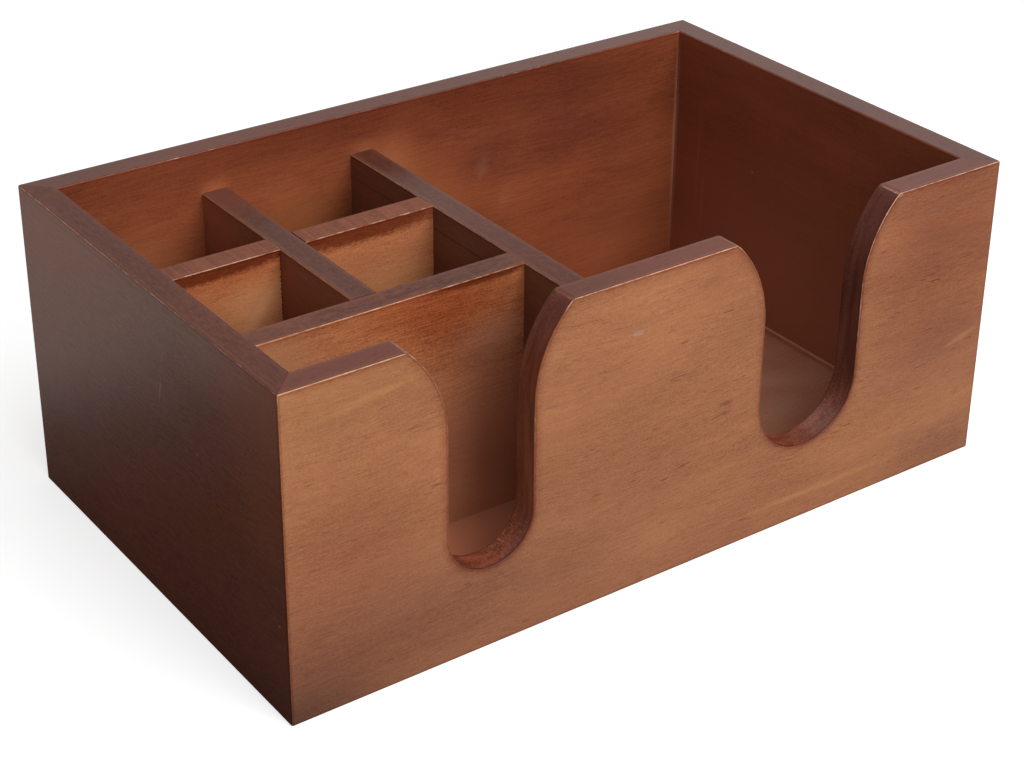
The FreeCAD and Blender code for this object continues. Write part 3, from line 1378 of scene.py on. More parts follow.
@dataclass(frozen=True)
class SlotStain:
    """Stain on the sawn walls of the front board's two slots, and along their arrises, with painted light
    and a painted highlight on the walls.

    A pair of lengths gives the two places between which something comes or goes, and a pair of shares is
    for the first and for the second slot.
    """

    centres: tuple[float, ...]
    dark: Tone = Tone((0.154, 0.048, 0.0283), (0.09, 0.0252, 0.0163))
    # painted light: a lit copy of the dark stain, for the first slot's walls
    lit: Tone = Tone((0.266, 0.084, 0.043), (0.16, 0.0455, 0.0235))
    red: Tone = Tone((0.25, 0.07, 0.034), (0.105, 0.025, 0.0135))
    upper_glaze: Colour = (0.81, 0.81, 0.82)
    shoulder_glaze: Colour = (0.94, 0.72, 0.66)
    shade_glaze: Colour = (0.62, 0.66, 0.9)
    arris_glaze: Colour = (0.4, 0.24, 0.2)
    halo_glaze: Colour = (0.72, 0.62, 0.7)
    # painted highlight: the greyish colour laid up the right side of each round bottom
    painted_highlight: Colour = (0.2, 0.1, 0.088)
    cut_wood: Colour = (0.42, 0.2, 0.125)
    past_round: Pair = (29 * MM, 43 * MM)
    upper: Pair = (52 * MM, 70 * MM)
    shoulder: Pair = (72 * MM, 98 * MM)
    first_shoulder: Pair = (76 * MM, 98 * MM)
    rim_side: Pair = (101.2 * MM, 101.45 * MM)
    crease_start: Pair = (101.05 * MM, 101.25 * MM)
    crease_end: Pair = (101.4 * MM, 101.5 * MM)
    worn_up: Pair = (40 * MM, 92 * MM)
    round_stained: Pair = (30 * MM, 42 * MM)
    side_stained: Pair = (36 * MM, 50 * MM)
    right_side: Pair = (2 * MM, 8 * MM)
    left_side: Pair = (-14 * MM, -2 * MM)
    past_slot: Pair = (40 * MM, 60 * MM)
    saw_mark: Pair = (0.05 * MM, 0.3 * MM)
    back_arris: Pair = (0.6 * MM, 0.15 * MM)
    front_part: Pair = (1.5 * MM, 5 * MM)
    rise_start: Pair = (3 * MM, 9 * MM)
    rise_end: Pair = (13 * MM, 18 * MM)
    torn_side: Pair = (-3 * MM, 9 * MM)
    round_side: Pair = (22 * MM, 30 * MM)
    above_base: Pair = (14 * MM, 22 * MM)
    below_rim: Pair = (100.4 * MM, 101.2 * MM)
    less_worn_place: float = -36 * MM
    less_worn_run: Pair = (4 * MM, 8 * MM)
    close_outline: Pair = (0.15 * MM, 0.5 * MM)
    close_depth: Pair = (0.3 * MM, 0.6 * MM)
    halo_run: Pair = (0.5 * MM, 2.2 * MM)
    cloud: Lumps = Lumps(0.006, 0.0024, 0.02, 3.0)
    grit: Lumps = Lumps(0.0006, 0.0006, 0.0006, 1.0)
    torn_fibres: Lumps = Lumps(0.00024, 0.0015, 0.00032, 1.0)
    torn_slant: float = 1.25
    torn_parts: Lumps = Lumps(0.004, 0.003, 0.005, 1.0)
    crease_breaks: Lumps = Lumps(0.0012, 0.0012, 0.0012)
    cover: float = 0.94
    shade_share: float = 0.7
    painted_highlight_share: Pair = (0.1, 0.34)
    pale_share: Pair = (0.26, 0.34)

    def which(self, at: Reading) -> tuple[Signal, Signal]:
        """Finds the nearer slot.

        Args:
            at: what the finish reads.

        Returns:
            The distance to the right of that slot's middle, and 1 at the first slot.
        """
        first, second = self.centres
        at_first = at.pot.maths("LESS_THAN", at.x, (first + second) / 2)
        return at.x - at.pot.choose(at_first, first, second), at_first

    def sawn(self, at: Reading) -> Signal:
        """Finds the sawn faces.

        Args:
            at: what the finish reads.

        Returns:
            How far a point is on a sawn face and off its arrises, from 0 to 1.
        """
        pot = at.pot
        behind = pot.fade(at.depth, *self.saw_mark)
        before = 1.0 - pot.fade(at.depth, *(at.thickness - run for run in self.back_arris))
        return behind * before * (1.0 - pot.fade(at.outline, *self.saw_mark))

    def stain(self, at: Reading, at_first: Signal, low: Signal) -> Signal:
        """Mixes the walls' stain: red at the round bottoms, darker and browner higher up, with painted
        light on the first slot's walls: a lighter, lit copy of the dark stain that fades towards the
        shoulder.

        Args:
            at: what the finish reads.
            at_first: 1 at the first slot.
            low: 1 at the round bottoms.

        Returns:
            The stain's colour.
        """
        pot, x, depth, z = at.pot, at.x, at.depth, at.z
        cloud = self.cloud.lay(pot, x, depth, z)
        grit = self.grit.lay(pot, x, depth, z) - 0.5
        smooth = pot.fade(cloud + grit * 0.3, 0.3, 0.7)
        rough = pot.fade(cloud + grit * 0.7, 0.25, 0.75)
        # painted light: the first slot's walls take the lit copy, less of it towards the shoulder
        lit = at_first * pot.fade(z, *self.first_shoulder, 1.0, 0.3)
        dark = pot.blend(lit, self.dark.mixed(pot, smooth), self.lit.mixed(pot, smooth))
        dark = pot.glaze(pot.fade(z, *self.upper), dark, self.upper_glaze)
        dark = pot.glaze(pot.fade(z, *self.shoulder), dark, self.shoulder_glaze)
        return pot.blend(low, dark, self.red.mixed(pot, rough))

    def torn(self, at: Reading, aside: Signal, low: Signal) -> Signal:
        """Finds where the cutter left pale torn fibres.

        Args:
            at: what the finish reads.
            aside: the distance to the right of the slot's middle.
            low: 1 at the round bottoms.

        Returns:
            The share of torn fibre, from 0 to 1.
        """
        pot, x, depth, z = at.pot, at.x, at.depth, at.z
        lines = self.torn_fibres.lay(pot, x, depth + z * self.torn_slant, z)
        where = self.torn_parts.lay(pot, x, depth, z)
        torn = pot.fade(where + (depth / at.thickness - 0.5) * 0.35, 0.42, 0.62)
        share = low * 0.24 + torn * low * 0.3 + torn * 0.1
        return pot.fade(lines, 0.54, 0.7) * pot.fade(aside, *self.torn_side) * share

    def crease(self, at: Reading) -> Signal:
        """Finds the worn line where a slot's wall turns out into the rim.

        Args:
            at: what the finish reads.

        Returns:
            The line, from 0 to 1.
        """
        pot, x, depth, z = at.pot, at.x, at.depth, at.z
        line = pot.fade(z, *self.crease_start) * (1.0 - pot.fade(z, *self.crease_end))
        away = (x - self.less_worn_place).size()
        less_worn = pot.fade(away, *self.less_worn_run, 0.3, 1.0)
        broken = self.crease_breaks.lay(pot, x, depth, z)
        thinning = pot.fade(depth, 0.0, at.thickness, 1.1, 0.5)
        return line * less_worn * thinning * pot.fade(broken, 0.3, 0.6, 0.3, 0.9)

    def walls(self, at: Reading, colour: Signal, worn_colour: Colour) -> Signal:
        """Lays the stain, shade, painted highlight, torn fibres and worn creases on the slots' walls.

        Args:
            at: what the finish reads.
            colour: the board's colour so far.
            worn_colour: the bare wood's colour.

        Returns:
            The colour with the slot walls on it.
        """
        pot = at.pot
        aside, at_first = self.which(at)
        sawn = self.sawn(at)
        wall = sawn * (1.0 - pot.fade(at.z, *self.rim_side))
        low = 1.0 - pot.fade(at.z, *self.past_round)
        colour = pot.blend(wall * self.cover, colour, self.stain(at, at_first, low))
        in_front = 1.0 - pot.fade(at.depth, *self.front_part)
        shade = wall * low * pot.fade(aside, *self.right_side) * in_front
        colour = pot.glaze(shade * self.shade_share, colour, self.shade_glaze)
        # painted highlight: a pale greyish band up the right side of each round bottom, faint in the
        # first slot and stronger in the second
        rising = pot.fade(aside, *self.rise_start) * (1.0 - pot.fade(aside, *self.rise_end))
        painted_highlight = wall * low * rising * pot.choose(at_first, *self.painted_highlight_share)
        colour = pot.blend(painted_highlight, colour, self.painted_highlight)
        colour = pot.blend(self.torn(at, aside, low) * wall, colour, self.cut_wood)
        return pot.blend(sawn * self.crease(at), colour, worn_colour)

    def arris(self, at: Reading) -> tuple[Signal, Signal]:
        """Finds where the slots' arrises are stained and not worn, and where they are worn pale.

        Args:
            at: what the finish reads.

        Returns:
            The share of the arris that is stained, from 0 to 1, and how much wear the pale parts show.
        """
        pot, z = at.pot, at.z
        aside, at_first = self.which(at)
        right = pot.fade(aside, *self.right_side) * (1.0 - pot.fade(aside, *self.past_slot))
        left = (1.0 - at_first) * (1.0 - pot.fade(aside, *self.left_side))
        most = pot.choose(at_first, *self.pale_share)
        pale = (right + left) * pot.fade(z, *self.worn_up, 0.4, 1.0) * most
        right = right * (1.0 - pot.fade(z, *self.side_stained, 0.0, 0.9))
        bottom = 1.0 - pot.fade(z, *self.round_stained)
        bottom = bottom * (1.0 - pot.fade(aside.size(), *self.round_side))
        upright = pot.fade(z, *self.above_base) * (1.0 - pot.fade(z, *self.below_rim))
        return pot.highest(right, bottom) * upright, pale

    def darken(self, at: Reading, colour: Signal, stained: Signal, patchy: Signal) -> Signal:
        """Darkens the stained arrises, and the face a little way round them.

        Args:
            at: what the finish reads.
            colour: the board's colour so far.
            stained: the share of the arris that is stained.
            patchy: how unevenly the stain lies.

        Returns:
            The darkened colour.
        """
        pot = at.pot
        close = 1.0 - pot.fade(at.outline, *self.close_outline)
        close = close * (1.0 - pot.fade(at.depth, *self.close_depth))
        colour = pot.glaze(close * stained * 0.8, colour, self.arris_glaze)
        halo = (1.0 - pot.fade(at.outline, *self.halo_run)) * at.on_outer
        return pot.glaze(halo * stained * patchy * 0.3, colour, self.halo_glaze)


@dataclass(frozen=True)
class StainedBoard:
    """Stained, rubbed wood on one board.

    A pair gives the two distances between which something comes or goes: from a face, the outline, an end
    or the base, or, for a drop, down from the board's top.
    """

    name: str
    lie: Lie
    outer: Tone
    inner: Tone
    edge: Tone
    seed: float
    thickness: float
    grain: Grain = Grain()
    worn_rim: float = 0.5
    worn_outer: float = 0.3
    worn_low: float = 0.06
    worn_inner: float = 0.18
    worn_colour: Colour = (0.58, 0.35, 0.22)
    rubbed: float = 0.3
    rubbed_colour: Colour = (0.3, 0.135, 0.09)
    gathered: float = 0.2
    gathered_glaze: Colour = (0.6, 0.36, 0.32)
    pore_glaze: Colour = (0.5, 0.36, 0.34)
    stain_glaze: Colour = (0.5, 0.3, 0.26)
    line_width: float = 0.32 * MM
    roughness: float = 0.42
    sheen_level: float = 0.12
    coat_roughness: float = 0.34
    relief: float = 0.35
    relief_height: float = 0.06 * MM
    face_run: Pair = (0.1 * MM, 0.5 * MM)
    rubbed_run: Pair = (0.3 * MM, 1.9 * MM)
    gathered_run: Pair = (0.3 * MM, 3.6 * MM)
    end_run: Pair = (1 * MM, 7 * MM)
    base_run: Pair = (2 * MM, 12 * MM)
    worn_drop: Pair = (34 * MM, 6 * MM)
    rim_drop: Pair = (3 * MM, 0.8 * MM)
    coat_drop: Pair = (2.5 * MM, 0.4 * MM)
    lacquer: Gloss = Gloss()
    marks: tuple[Mark, ...] = ()
    slots: SlotStain | None = None

    @property
    def lengthwise(self) -> bool:
        """Whether the grain runs along the caddy's length."""
        return self.lie in (Lie.FACES_FRONT, Lie.FACES_BACK, Lie.FACES_UP)

    def read(self, pot: Pot, groups: Groups, low: Vector, high: Vector, profile: Profile) -> Reading:
        """Reads the place, the distances and the wood's figure.

        Args:
            pot: the finish's tree.
            groups: the shared node groups.
            low: the board's lowest corner.
            high: the board's highest corner.
            profile: gives the distance from the board's outline.

        Returns:
            What the finish reads at each point.
        """
        x, y, z = pot.axes(pot.out(pot.node("TexCoord"), "Object"))
        depth = {
            Lie.FACES_FRONT: y - low.y,
            Lie.FACES_BACK: high.y - y,
            Lie.FACES_LEFT: x - low.x,
            Lie.FACES_RIGHT: high.x - x,
            Lie.FACES_UP: high.z - z,
        }[self.lie]
        along = x if self.lengthwise else y
        across = y if self.lie is Lie.FACES_UP else z
        figure = pot.use(groups.figure, Along=along, Across=across, Through=depth, Seed=self.seed)
        outline = profile(pot, x, y, z)
        streaks = (figure["Streaks"] - 0.5) * self.grain.streaks
        near, far = self.face_run
        return Reading(
            pot=pot,
            groups=groups,
            low=low,
            high=high,
            thickness=self.thickness,
            x=x,
            y=y,
            z=z,
            along=along,
            across=across,
            depth=depth,
            outline=outline,
            arris=pot.highest(pot.lowest(depth, self.thickness - depth), outline),
            on_outer=1.0 - pot.fade(depth, near, far),
            on_inner=pot.fade(depth, self.thickness - far, self.thickness - near),
            figure=figure,
            fine=streaks + (figure["Fibres"] - 0.5) * self.grain.fibres,
        )

    def tones(self, at: Reading) -> Signal:
        """Mixes each face's stain, with the wood's figure in it and the edges rubbed paler.

        Args:
            at: what the finish reads.

        Returns:
            The colour before any mark or wear.
        """
        pot, figure, grain, fine = at.pot, at.figure, self.grain, at.fine
        slow = (figure["Clouds"] - 0.5) * grain.clouds + (figure["Bands"] - 0.5) * grain.bands
        value = slow + fine + 0.5
        edge_value = slow * 0.8 + fine * 0.5 + (figure["Mottle"] - 0.5) * grain.mottle + 0.5
        if grain.chatter:
            edge_value = edge_value + (figure["Chatter"] - 0.5) * grain.chatter
        to_face = pot.lowest(at.depth, self.thickness - at.depth)
        rubbed = pot.fade(to_face, *self.rubbed_run, self.rubbed, 0.0)
        colour = pot.blend(rubbed, self.edge.mixed(pot, edge_value), self.rubbed_colour)
        colour = pot.blend(at.on_outer, colour, self.outer.mixed(pot, value))
        colour = pot.blend(at.on_inner, colour, self.inner.mixed(pot, value))
        return pot.glaze(figure["Pores"] * grain.pores, colour, self.pore_glaze)

    def marked(self, at: Reading, colour: Signal) -> Signal:
        """Lays the marks on the board.

        Args:
            at: what the finish reads.
            colour: the board's colour so far.

        Returns:
            The colour with the marks on it.
        """
        sides = {
            Side.OUTER: at.on_outer,
            Side.INNER: at.on_inner,
            Side.EDGE: 1.0 - at.pot.highest(at.on_inner, at.on_outer),
        }
        for mark in self.marks:
            shape = at.pot.use(
                at.groups.blemish,
                Along=at.along,
                Height=at.across,
                Centre_Along=mark.along * MM,
                Centre_Height=mark.height * MM,
                Half_Length=mark.half_length * MM,
                Half_Width=mark.half_width * MM,
                Tilt=math.radians(mark.tilt),
                Softness=mark.softness,
                Tear=mark.tear,
            )["Mark"]
            colour = mark.lay(at.pot, shape * sides[mark.side] * mark.strength, colour)
        return colour

    def worn(self, at: Reading, colour: Signal, patchy: Signal) -> Signal:
        """Lays the pale worn lines and the darker stain beside them on the arrises.

        Args:
            at: what the finish reads.
            colour: the board's colour so far.
            patchy: how unevenly the stain lies.

        Returns:
            The colour with the worn arrises on it.
        """
        pot = at.pot
        near_outer = pot.maths("LESS_THAN", at.depth, self.thickness / 2)
        amount = pot.fade(at.z, *at.below_top(self.worn_drop), self.worn_low, self.worn_outer)
        if self.slots:
            stained, pale = self.slots.arris(at)
            amount = pot.highest(amount, pale)
        on_rim = pot.fade(at.z, *at.below_top(self.rim_drop))
        amount = pot.choose(on_rim, self.worn_rim, amount)
        wear = pot.use(
            at.groups.wear,
            Distance=at.arris,
            X=at.x,
            Y=at.y,
            Z=at.z,
            Width=self.line_width,
            Amount=pot.choose(near_outer, amount, self.worn_inner),
            Seed=self.seed,
        )
        bare = wear["Worn"]
        if self.slots:
            colour = self.slots.darken(at, colour, stained, patchy)
            bare = bare * (1.0 - stained * 0.9)
        colour = pot.glaze(wear["Stain"] * 0.55, colour, self.stain_glaze)
        return pot.blend(bare, colour, self.worn_colour)

    def colour(self, at: Reading) -> Signal:
        """Mixes the whole colour: stain, marks, gathered stain, slot walls and worn arrises.

        Args:
            at: what the finish reads.

        Returns:
            The colour.
        """
        pot, figure = at.pot, at.figure
        colour = self.marked(at, self.tones(at))
        axis = 0 if self.lengthwise else 1
        ends = pot.lowest(at.along - at.low[axis], at.high[axis] - at.along)
        upper = pot.fade(ends, *self.end_run) * pot.fade(at.z, *self.base_run)
        gathered = pot.fade(at.outline, *self.gathered_run, self.gathered, 0.0)
        patchy = pot.fade(figure["Mottle"] * 0.6 + figure["Clouds"] * 0.4, 0.3, 0.7, 0.4, 1.4)
        share = gathered * at.on_outer * upper * patchy
        colour = pot.glaze(share, colour, self.gathered_glaze)
        if self.slots:
            colour = self.slots.walls(at, colour, self.worn_colour)
        return self.worn(at, colour, patchy)

    def coat(self, at: Reading) -> Signal:
        """Works out how thick the lacquer lies on each face.

        Args:
            at: what the finish reads.

        Returns:
            The coat's weight.
        """
        pot, gloss = at.pot, self.lacquer
        low, high, y, z = at.low, at.high, at.y, at.z
        outer = pot.fade(at.figure["Clouds"], 0.3, 0.7, 0.5, 1.5) * gloss.outer
        if gloss.far_corner:
            far = (y - low.y) / (high.y - low.y) * gloss.far_slope + z / high.z
            far = far + (gloss.far_wave.lay(pot, y, 0.0, z) - 0.5) * gloss.far_wave_share
            spread = pot.fade(far, 0.62, 1.1, 0.0, 0.3) + pot.fade(far, 0.92, 1.3, 0.0, 0.72)
            grain = at.fine * gloss.far_grain_share + 1.0
            outer = (outer + spread * gloss.far_corner) * grain
        edge = gloss.edge
        if gloss.edge_front:
            edge = edge + (1.0 - pot.fade(y, *gloss.front_run)) * gloss.edge_front
        if gloss.edge_back:
            edge = edge + pot.fade(y, *gloss.back_run) * gloss.edge_back
        if gloss.edge_right:
            edge = edge + pot.fade(at.x, *gloss.right_run) * gloss.edge_right
        edge = pot.fade(z, *at.below_top(self.coat_drop), 0.2, 1.0) * edge
        return pot.choose(at.on_inner, gloss.inner, pot.choose(at.on_outer, outer, edge))

    def make(self, groups: Groups, low: Vector, high: Vector, profile: Profile) -> bpy.types.Material:
        """Mixes the finish.

        Args:
            groups: the shared node groups.
            low: the board's lowest corner.
            high: the board's highest corner.
            profile: gives the distance from the board's outline.

        Returns:
            The material.
        """
        pot, material = new_finish(self.name)
        at = self.read(pot, groups, low, high, profile)
        figure = at.figure
        uneven = (figure["Streaks"] - 0.5) * 0.14 + (figure["Clouds"] - 0.5) * 0.12
        pot.dress(
            Base_Color=self.colour(at),
            Specular_IOR_Level=self.sheen_level,
            Roughness=uneven + figure["Pores"] * 0.2 + self.roughness,
            Coat_Weight=self.coat(at),
            Coat_Roughness=self.coat_roughness,
        )
        height = figure["Fibres"] * 0.45 + figure["Streaks"] * 0.6 - figure["Pores"] * 0.8
        pot.bump(height, self.relief, self.relief_height)
        return material


@dataclass(frozen=True)
class Filler:
    """Pale wood filler, rubbed level with the board."""

    name: str = "pale_filler"
    tone: Tone = Tone((0.41, 0.194, 0.113), (0.3, 0.128, 0.067))
    grit_glaze: Colour = (0.7, 0.6, 0.6)
    lumps: Lumps = Lumps(0.0011, 0.0011, 0.0006, 3.0)
    grit: Lumps = Lumps(0.0002, 0.0002, 0.0002)
    relief: float = 0.3
    relief_height: float = 0.05 * MM

    def make(self) -> bpy.types.Material:
        """Mixes the finish.

        Returns:
            The material.
        """
        pot, material = new_finish(self.name)
        place = pot.axes(pot.out(pot.node("TexCoord"), "Object"))
        lumps = self.lumps.lay(pot, *place)
        grit = self.grit.lay(pot, *place)
        colour = self.tone.mixed(pot, lumps)
        colour = pot.glaze(pot.fade(grit, 0.5, 0.75) * 0.4, colour, self.grit_glaze)
        pot.dress(Base_Color=colour, Roughness=grit * 0.2 + 0.5)
        pot.bump(lumps + grit * 0.3, self.relief, self.relief_height)
        return material


@dataclass(frozen=True)
class BradSteel:
    """Bright drawn steel wire."""

    name: str = "drawn_steel"
    bright: Colour = (0.56, 0.56, 0.57)
    dull: Colour = (0.36, 0.34, 0.33)
    drawn: Lumps = Lumps(0.0001, 0.004, 0.0001)
    stains: Lumps = Lumps(0.001, 0.002, 0.001, 3.0)

    def make(self) -> bpy.types.Material:
        """Mixes the finish.

        Returns:
            The material.
        """
        pot, material = new_finish(self.name)
        place = pot.axes(pot.out(pot.node("TexCoord"), "Object"))
        drawn = self.drawn.lay(pot, *place)
        stains = self.stains.lay(pot, *place)
        colour = pot.blend(pot.fade(stains, 0.45, 0.75), self.bright, self.dull)
        pot.dress(Base_Color=colour, Metallic=1.0, Roughness=drawn * 0.2 + 0.28)
        return material


# ---------------------------------------------------------------- studio


WHITE = (1.0, 1.0, 1.0)


@dataclass(frozen=True)
class Softbox:
    """A square softbox that looks at the caddy, in metres and watts."""

    name: str
    away: Spot
    distance: float
    size: float
    power: float

    def hang(self) -> None:
        """Hangs it."""
        light = bpy.data.lights.new(self.name, "AREA")
        light.shape = "SQUARE"
        light.size = self.size
        light.energy = self.power
        lamp = bpy.data.objects.new(self.name, light)
        bpy.context.scene.collection.objects.link(lamp)
        direction = Vector(self.away).normalized()
        lamp.location = direction * self.distance
        lamp.rotation_euler = direction.to_track_quat("Z", "Y").to_euler()


@dataclass
class Studio:
    """Pale floor, white surround, soft key light and camera."""

    floor_half: float = 4.0
    floor_albedo: float = 0.6
    floor_roughness: float = 0.9
    floor_lift: float = 0.64
    floor_gloss_lift: float = 0.05
    sky: float = 0.33
    softboxes: tuple[Softbox, ...] = (
        Softbox("key", (0.2, -0.5, 0.85), 1.5, 1.2, 13.5),
        Softbox("fill", (-0.05, -0.85, 0.5), 1.6, 1.0, 10.5),
    )
    camera_place: Spot = (-0.35023, -0.48503, 0.36633)
    camera_right: Spot = (0.81441, -0.58023, 0.00832)
    camera_down: Spot = (-0.25922, -0.37659, -0.88937)
    camera_ahead: Spot = (0.51918, 0.72215, -0.45711)
    clip: Pair = (0.01, 50.0)
    lens: float = 76.482
    sensor: float = 36.0
    shift: float = -0.08

    @staticmethod
    def seen_by(pot: Pot, camera: float, gloss: float) -> Signal:
        """Works out how strongly the plain white surround shows.

        Args:
            pot: the surround's tree.
            camera: its strength for the camera.
            gloss: its strength for glossy and clear surfaces.

        Returns:
            The strength.
        """
        path = pot.node("LightPath")
        mirrored = pot.highest(pot.out(path, "Is Glossy Ray"), pot.out(path, "Is Transmission Ray"))
        return pot.highest(pot.out(path, "Is Camera Ray") * camera, mirrored * gloss)

    def floor(self) -> None:
        """Lays the pale floor."""
        clear_selection()
        bpy.ops.mesh.primitive_plane_add(size=2 * self.floor_half, location=(0, 0, 0))
        floor = bpy.context.object
        floor.name = "studio_floor"
        set_place(floor)
        pot, material = new_finish("studio_floor")
        pot.dress(
            Base_Color=(self.floor_albedo,) * 3,
            Roughness=self.floor_roughness,
            Specular_IOR_Level=0.0,
            Emission_Color=WHITE,
            Emission_Strength=self.seen_by(pot, self.floor_lift, self.floor_gloss_lift),
        )
        floor.data.materials.append(material)

    def surround(self) -> None:
        """Makes the surround white to look at, and a soft fill to be lit by."""
        world = bpy.data.worlds.new("surround")
        bpy.context.scene.world = world
        world.use_nodes = True
        pot = Pot(world.node_tree)
        background = world.node_tree.nodes["Background"]
        pot.feed(background.inputs["Color"], WHITE)
        seen = self.seen_by(pot, 1.0 - self.sky, 1.0 - self.sky)
        pot.feed(background.inputs["Strength"], seen + self.sky)

    def camera(self) -> None:
        """Sets up the camera."""
        data = bpy.data.cameras.new("camera")
        data.sensor_width = self.sensor
        data.lens = self.lens
        data.shift_y = self.shift
        data.clip_start, data.clip_end = self.clip
        camera = bpy.data.objects.new("camera", data)
        bpy.context.scene.collection.objects.link(camera)
        right, up = Vector(self.camera_right), -Vector(self.camera_down)
        turn = Matrix((right, up, -Vector(self.camera_ahead))).transposed()
        camera.matrix_world = Matrix.Translation(self.camera_place) @ turn.to_4x4()
        bpy.context.scene.camera = camera

    def build(self) -> None:
        """Sets up the whole studio."""
        self.floor()
        self.surround()
        for softbox in self.softboxes:
            softbox.hang()
        self.camera()
        bpy.context.scene.view_settings.view_transform = "Standard"


# ---------------------------------------------------------------- colours and marks


LIGHT_BROWN = Tone((0.452, 0.19, 0.078), (0.224, 0.0775, 0.0375))
RIM_BROWN = Tone((0.137, 0.044, 0.0265), (0.061, 0.0148, 0.0088))
FRONT_RIM = Tone((0.18, 0.048, 0.025), (0.08, 0.0165, 0.0085))
BACK_RIM = Tone((0.146, 0.044, 0.0255), (0.065, 0.0148, 0.0085))
LONG_RIM = Tone((0.132, 0.043, 0.0255), (0.057, 0.0147, 0.0092))
SHORT_RIM = Tone((0.13, 0.047, 0.0285), (0.056, 0.0162, 0.0104))
CROSS_RIM = Tone((0.256, 0.086, 0.046), (0.122, 0.035, 0.018))
FRONT_CROSS_RIM = Tone((0.172, 0.053, 0.03), (0.053, 0.014, 0.0092))
RED_BROWN = Tone((0.34, 0.095, 0.038), (0.135, 0.03, 0.013))
CROSS_BROWN = Tone((0.52, 0.195, 0.08), (0.28, 0.082, 0.032))
REAR_CROSS_BROWN = Tone((0.57, 0.215, 0.094), (0.32, 0.1, 0.04))
DEEP_BROWN = Tone((0.28, 0.076, 0.036), (0.155, 0.036, 0.018))
PLANK_BROWN = Tone((0.26, 0.1, 0.055), (0.14, 0.045, 0.024))
SHORT_PLANK_BROWN = Tone((0.4, 0.15, 0.078), (0.215, 0.067, 0.034))
END_BROWN = Tone((0.113, 0.026, 0.0082), (0.058, 0.0102, 0.003))
FLOOR_BROWN = Tone((0.46, 0.195, 0.112), (0.28, 0.105, 0.06))

KNOT = (0.12, 0.032, 0.022)
SMUDGE = (0.2, 0.08, 0.055)
PALE = (0.62, 0.32, 0.12)
SCRATCH = (0.36, 0.17, 0.1)
UNDER_RIM = (0.36, 0.21, 0.17)
HALO = (0.55, 0.2, 0.08)
WIPED = (0.46, 0.24, 0.17)
PLANK_GRAIN = (0.05, 0.014, 0.008)
# pale greyish pink: painted sheen, with smears, on the floor
SHEEN_AND_SMEAR = (0.62, 0.4, 0.31)
PLANK_LINE = (0.34, 0.175, 0.11)

FRONT_MARKS = (
    Shade(-34, 101.6, 34, 10, 0.9, (0.8, 0.82, 0.82), softness=0.9, tear=0.2, side=Side.EDGE),
    Shade(108, 42, 50, 24, 0.95, (0.74, 0.67, 0.75)),
    # painted shade: the next four glazes darken the front face towards its bottom, most at the lower left
    # corner
    Shade(-84, 20, 92, 34, 0.95, (0.83, 0.83, 0.92)),
    Shade(-127, -5, 90, 50, 0.8, (0.55, 0.48, 0.54), tilt=14),
    Shade(-130, -4, 48, 30, 0.95, (0.38, 0.39, 0.47)),
    Shade(-20, -8, 110, 58, 0.75, (0.68, 0.64, 0.76)),
    Shade(108, 84, 66, 62, 0.95, (0.71, 0.55, 0.54)),
    Shade(-108, 44, 56, 34, 0.9, (0.74, 0.62, 0.65)),
    Shade(-30, 48, 46, 44, 0.8, (0.82, 0.76, 0.8), tilt=20),
    Shade(26, 98, 34, 20, 0.8, (0.82, 0.72, 0.68)),
    # painted light: paler at the top left corner of the front face
    Mark(-122, 100, 60, 30, 0.14, PALE, tear=0.0),
    Mark(-100, 92.5, 30, 2.2, 0.16, PALE, tilt=8, tear=0.4),
    Mark(60, 8.5, 60, 1.4, 0.16, PALE, softness=0.9, tear=0.4),
    Mark(84.5, 101, 1.7, 0.9, 0.6, (0.58, 0.35, 0.22), softness=0.6, tear=0.5),
    Shade(116, 6, 50, 20, 0.9, (0.88, 0.93, 1.0)),
    Shade(-8, 36, 42, 28, 0.6, (0.91, 0.88, 0.93)),
    Fleck(20.5, 51.1, 3.7, 1.15, 0.55, KNOT, tilt=2, softness=0.75),
    Fleck(20.3, 47.9, 2.9, 0.95, 0.45, KNOT, tilt=2),
    Fleck(13, 75.4, 3.6, 0.8, 0.45, SMUDGE, tilt=-6),
    Mark(12.2, 93.3, 4.6, 2.4, 0.3, SMUDGE, tilt=10, tear=0.5),
    Fleck(-42.5, 70.4, 4, 0.5, 0.5, SMUDGE, tilt=-3, softness=0.7),
    Fleck(-22, 75.4, 3.4, 0.4, 0.45, SMUDGE, softness=0.7),
    Fleck(-2, 67.5, 7, 0.45, 0.4, SMUDGE, tilt=1),
    Fleck(6, 65.6, 6, 0.4, 0.35, SMUDGE, tilt=2),
    Fleck(-110, 53.9, 7.5, 0.4, 0.55, SMUDGE, tilt=-2, softness=0.7),
    Fleck(-92, 53.2, 9, 0.4, 0.35, SMUDGE),
    Fleck(-103, 25.2, 8, 0.35, 0.4, SMUDGE, tilt=-3),
    Fleck(-33, 14.6, 11, 0.45, 0.4, SMUDGE, tilt=-4),
    Mark(103, 92, 22, 2.2, 0.22, SMUDGE, tilt=2, tear=0.7),
    Fleck(109.7, 40.2, 4.6, 1.5, 0.38, SMUDGE, tilt=6, softness=0.9),
    Mark(118, 43.5, 9, 1.6, 0.2, PALE, tilt=14, softness=0.9, tear=0.5),
    Fleck(88, 57, 9, 1, 0.22, SMUDGE, tilt=3, softness=0.9),
)
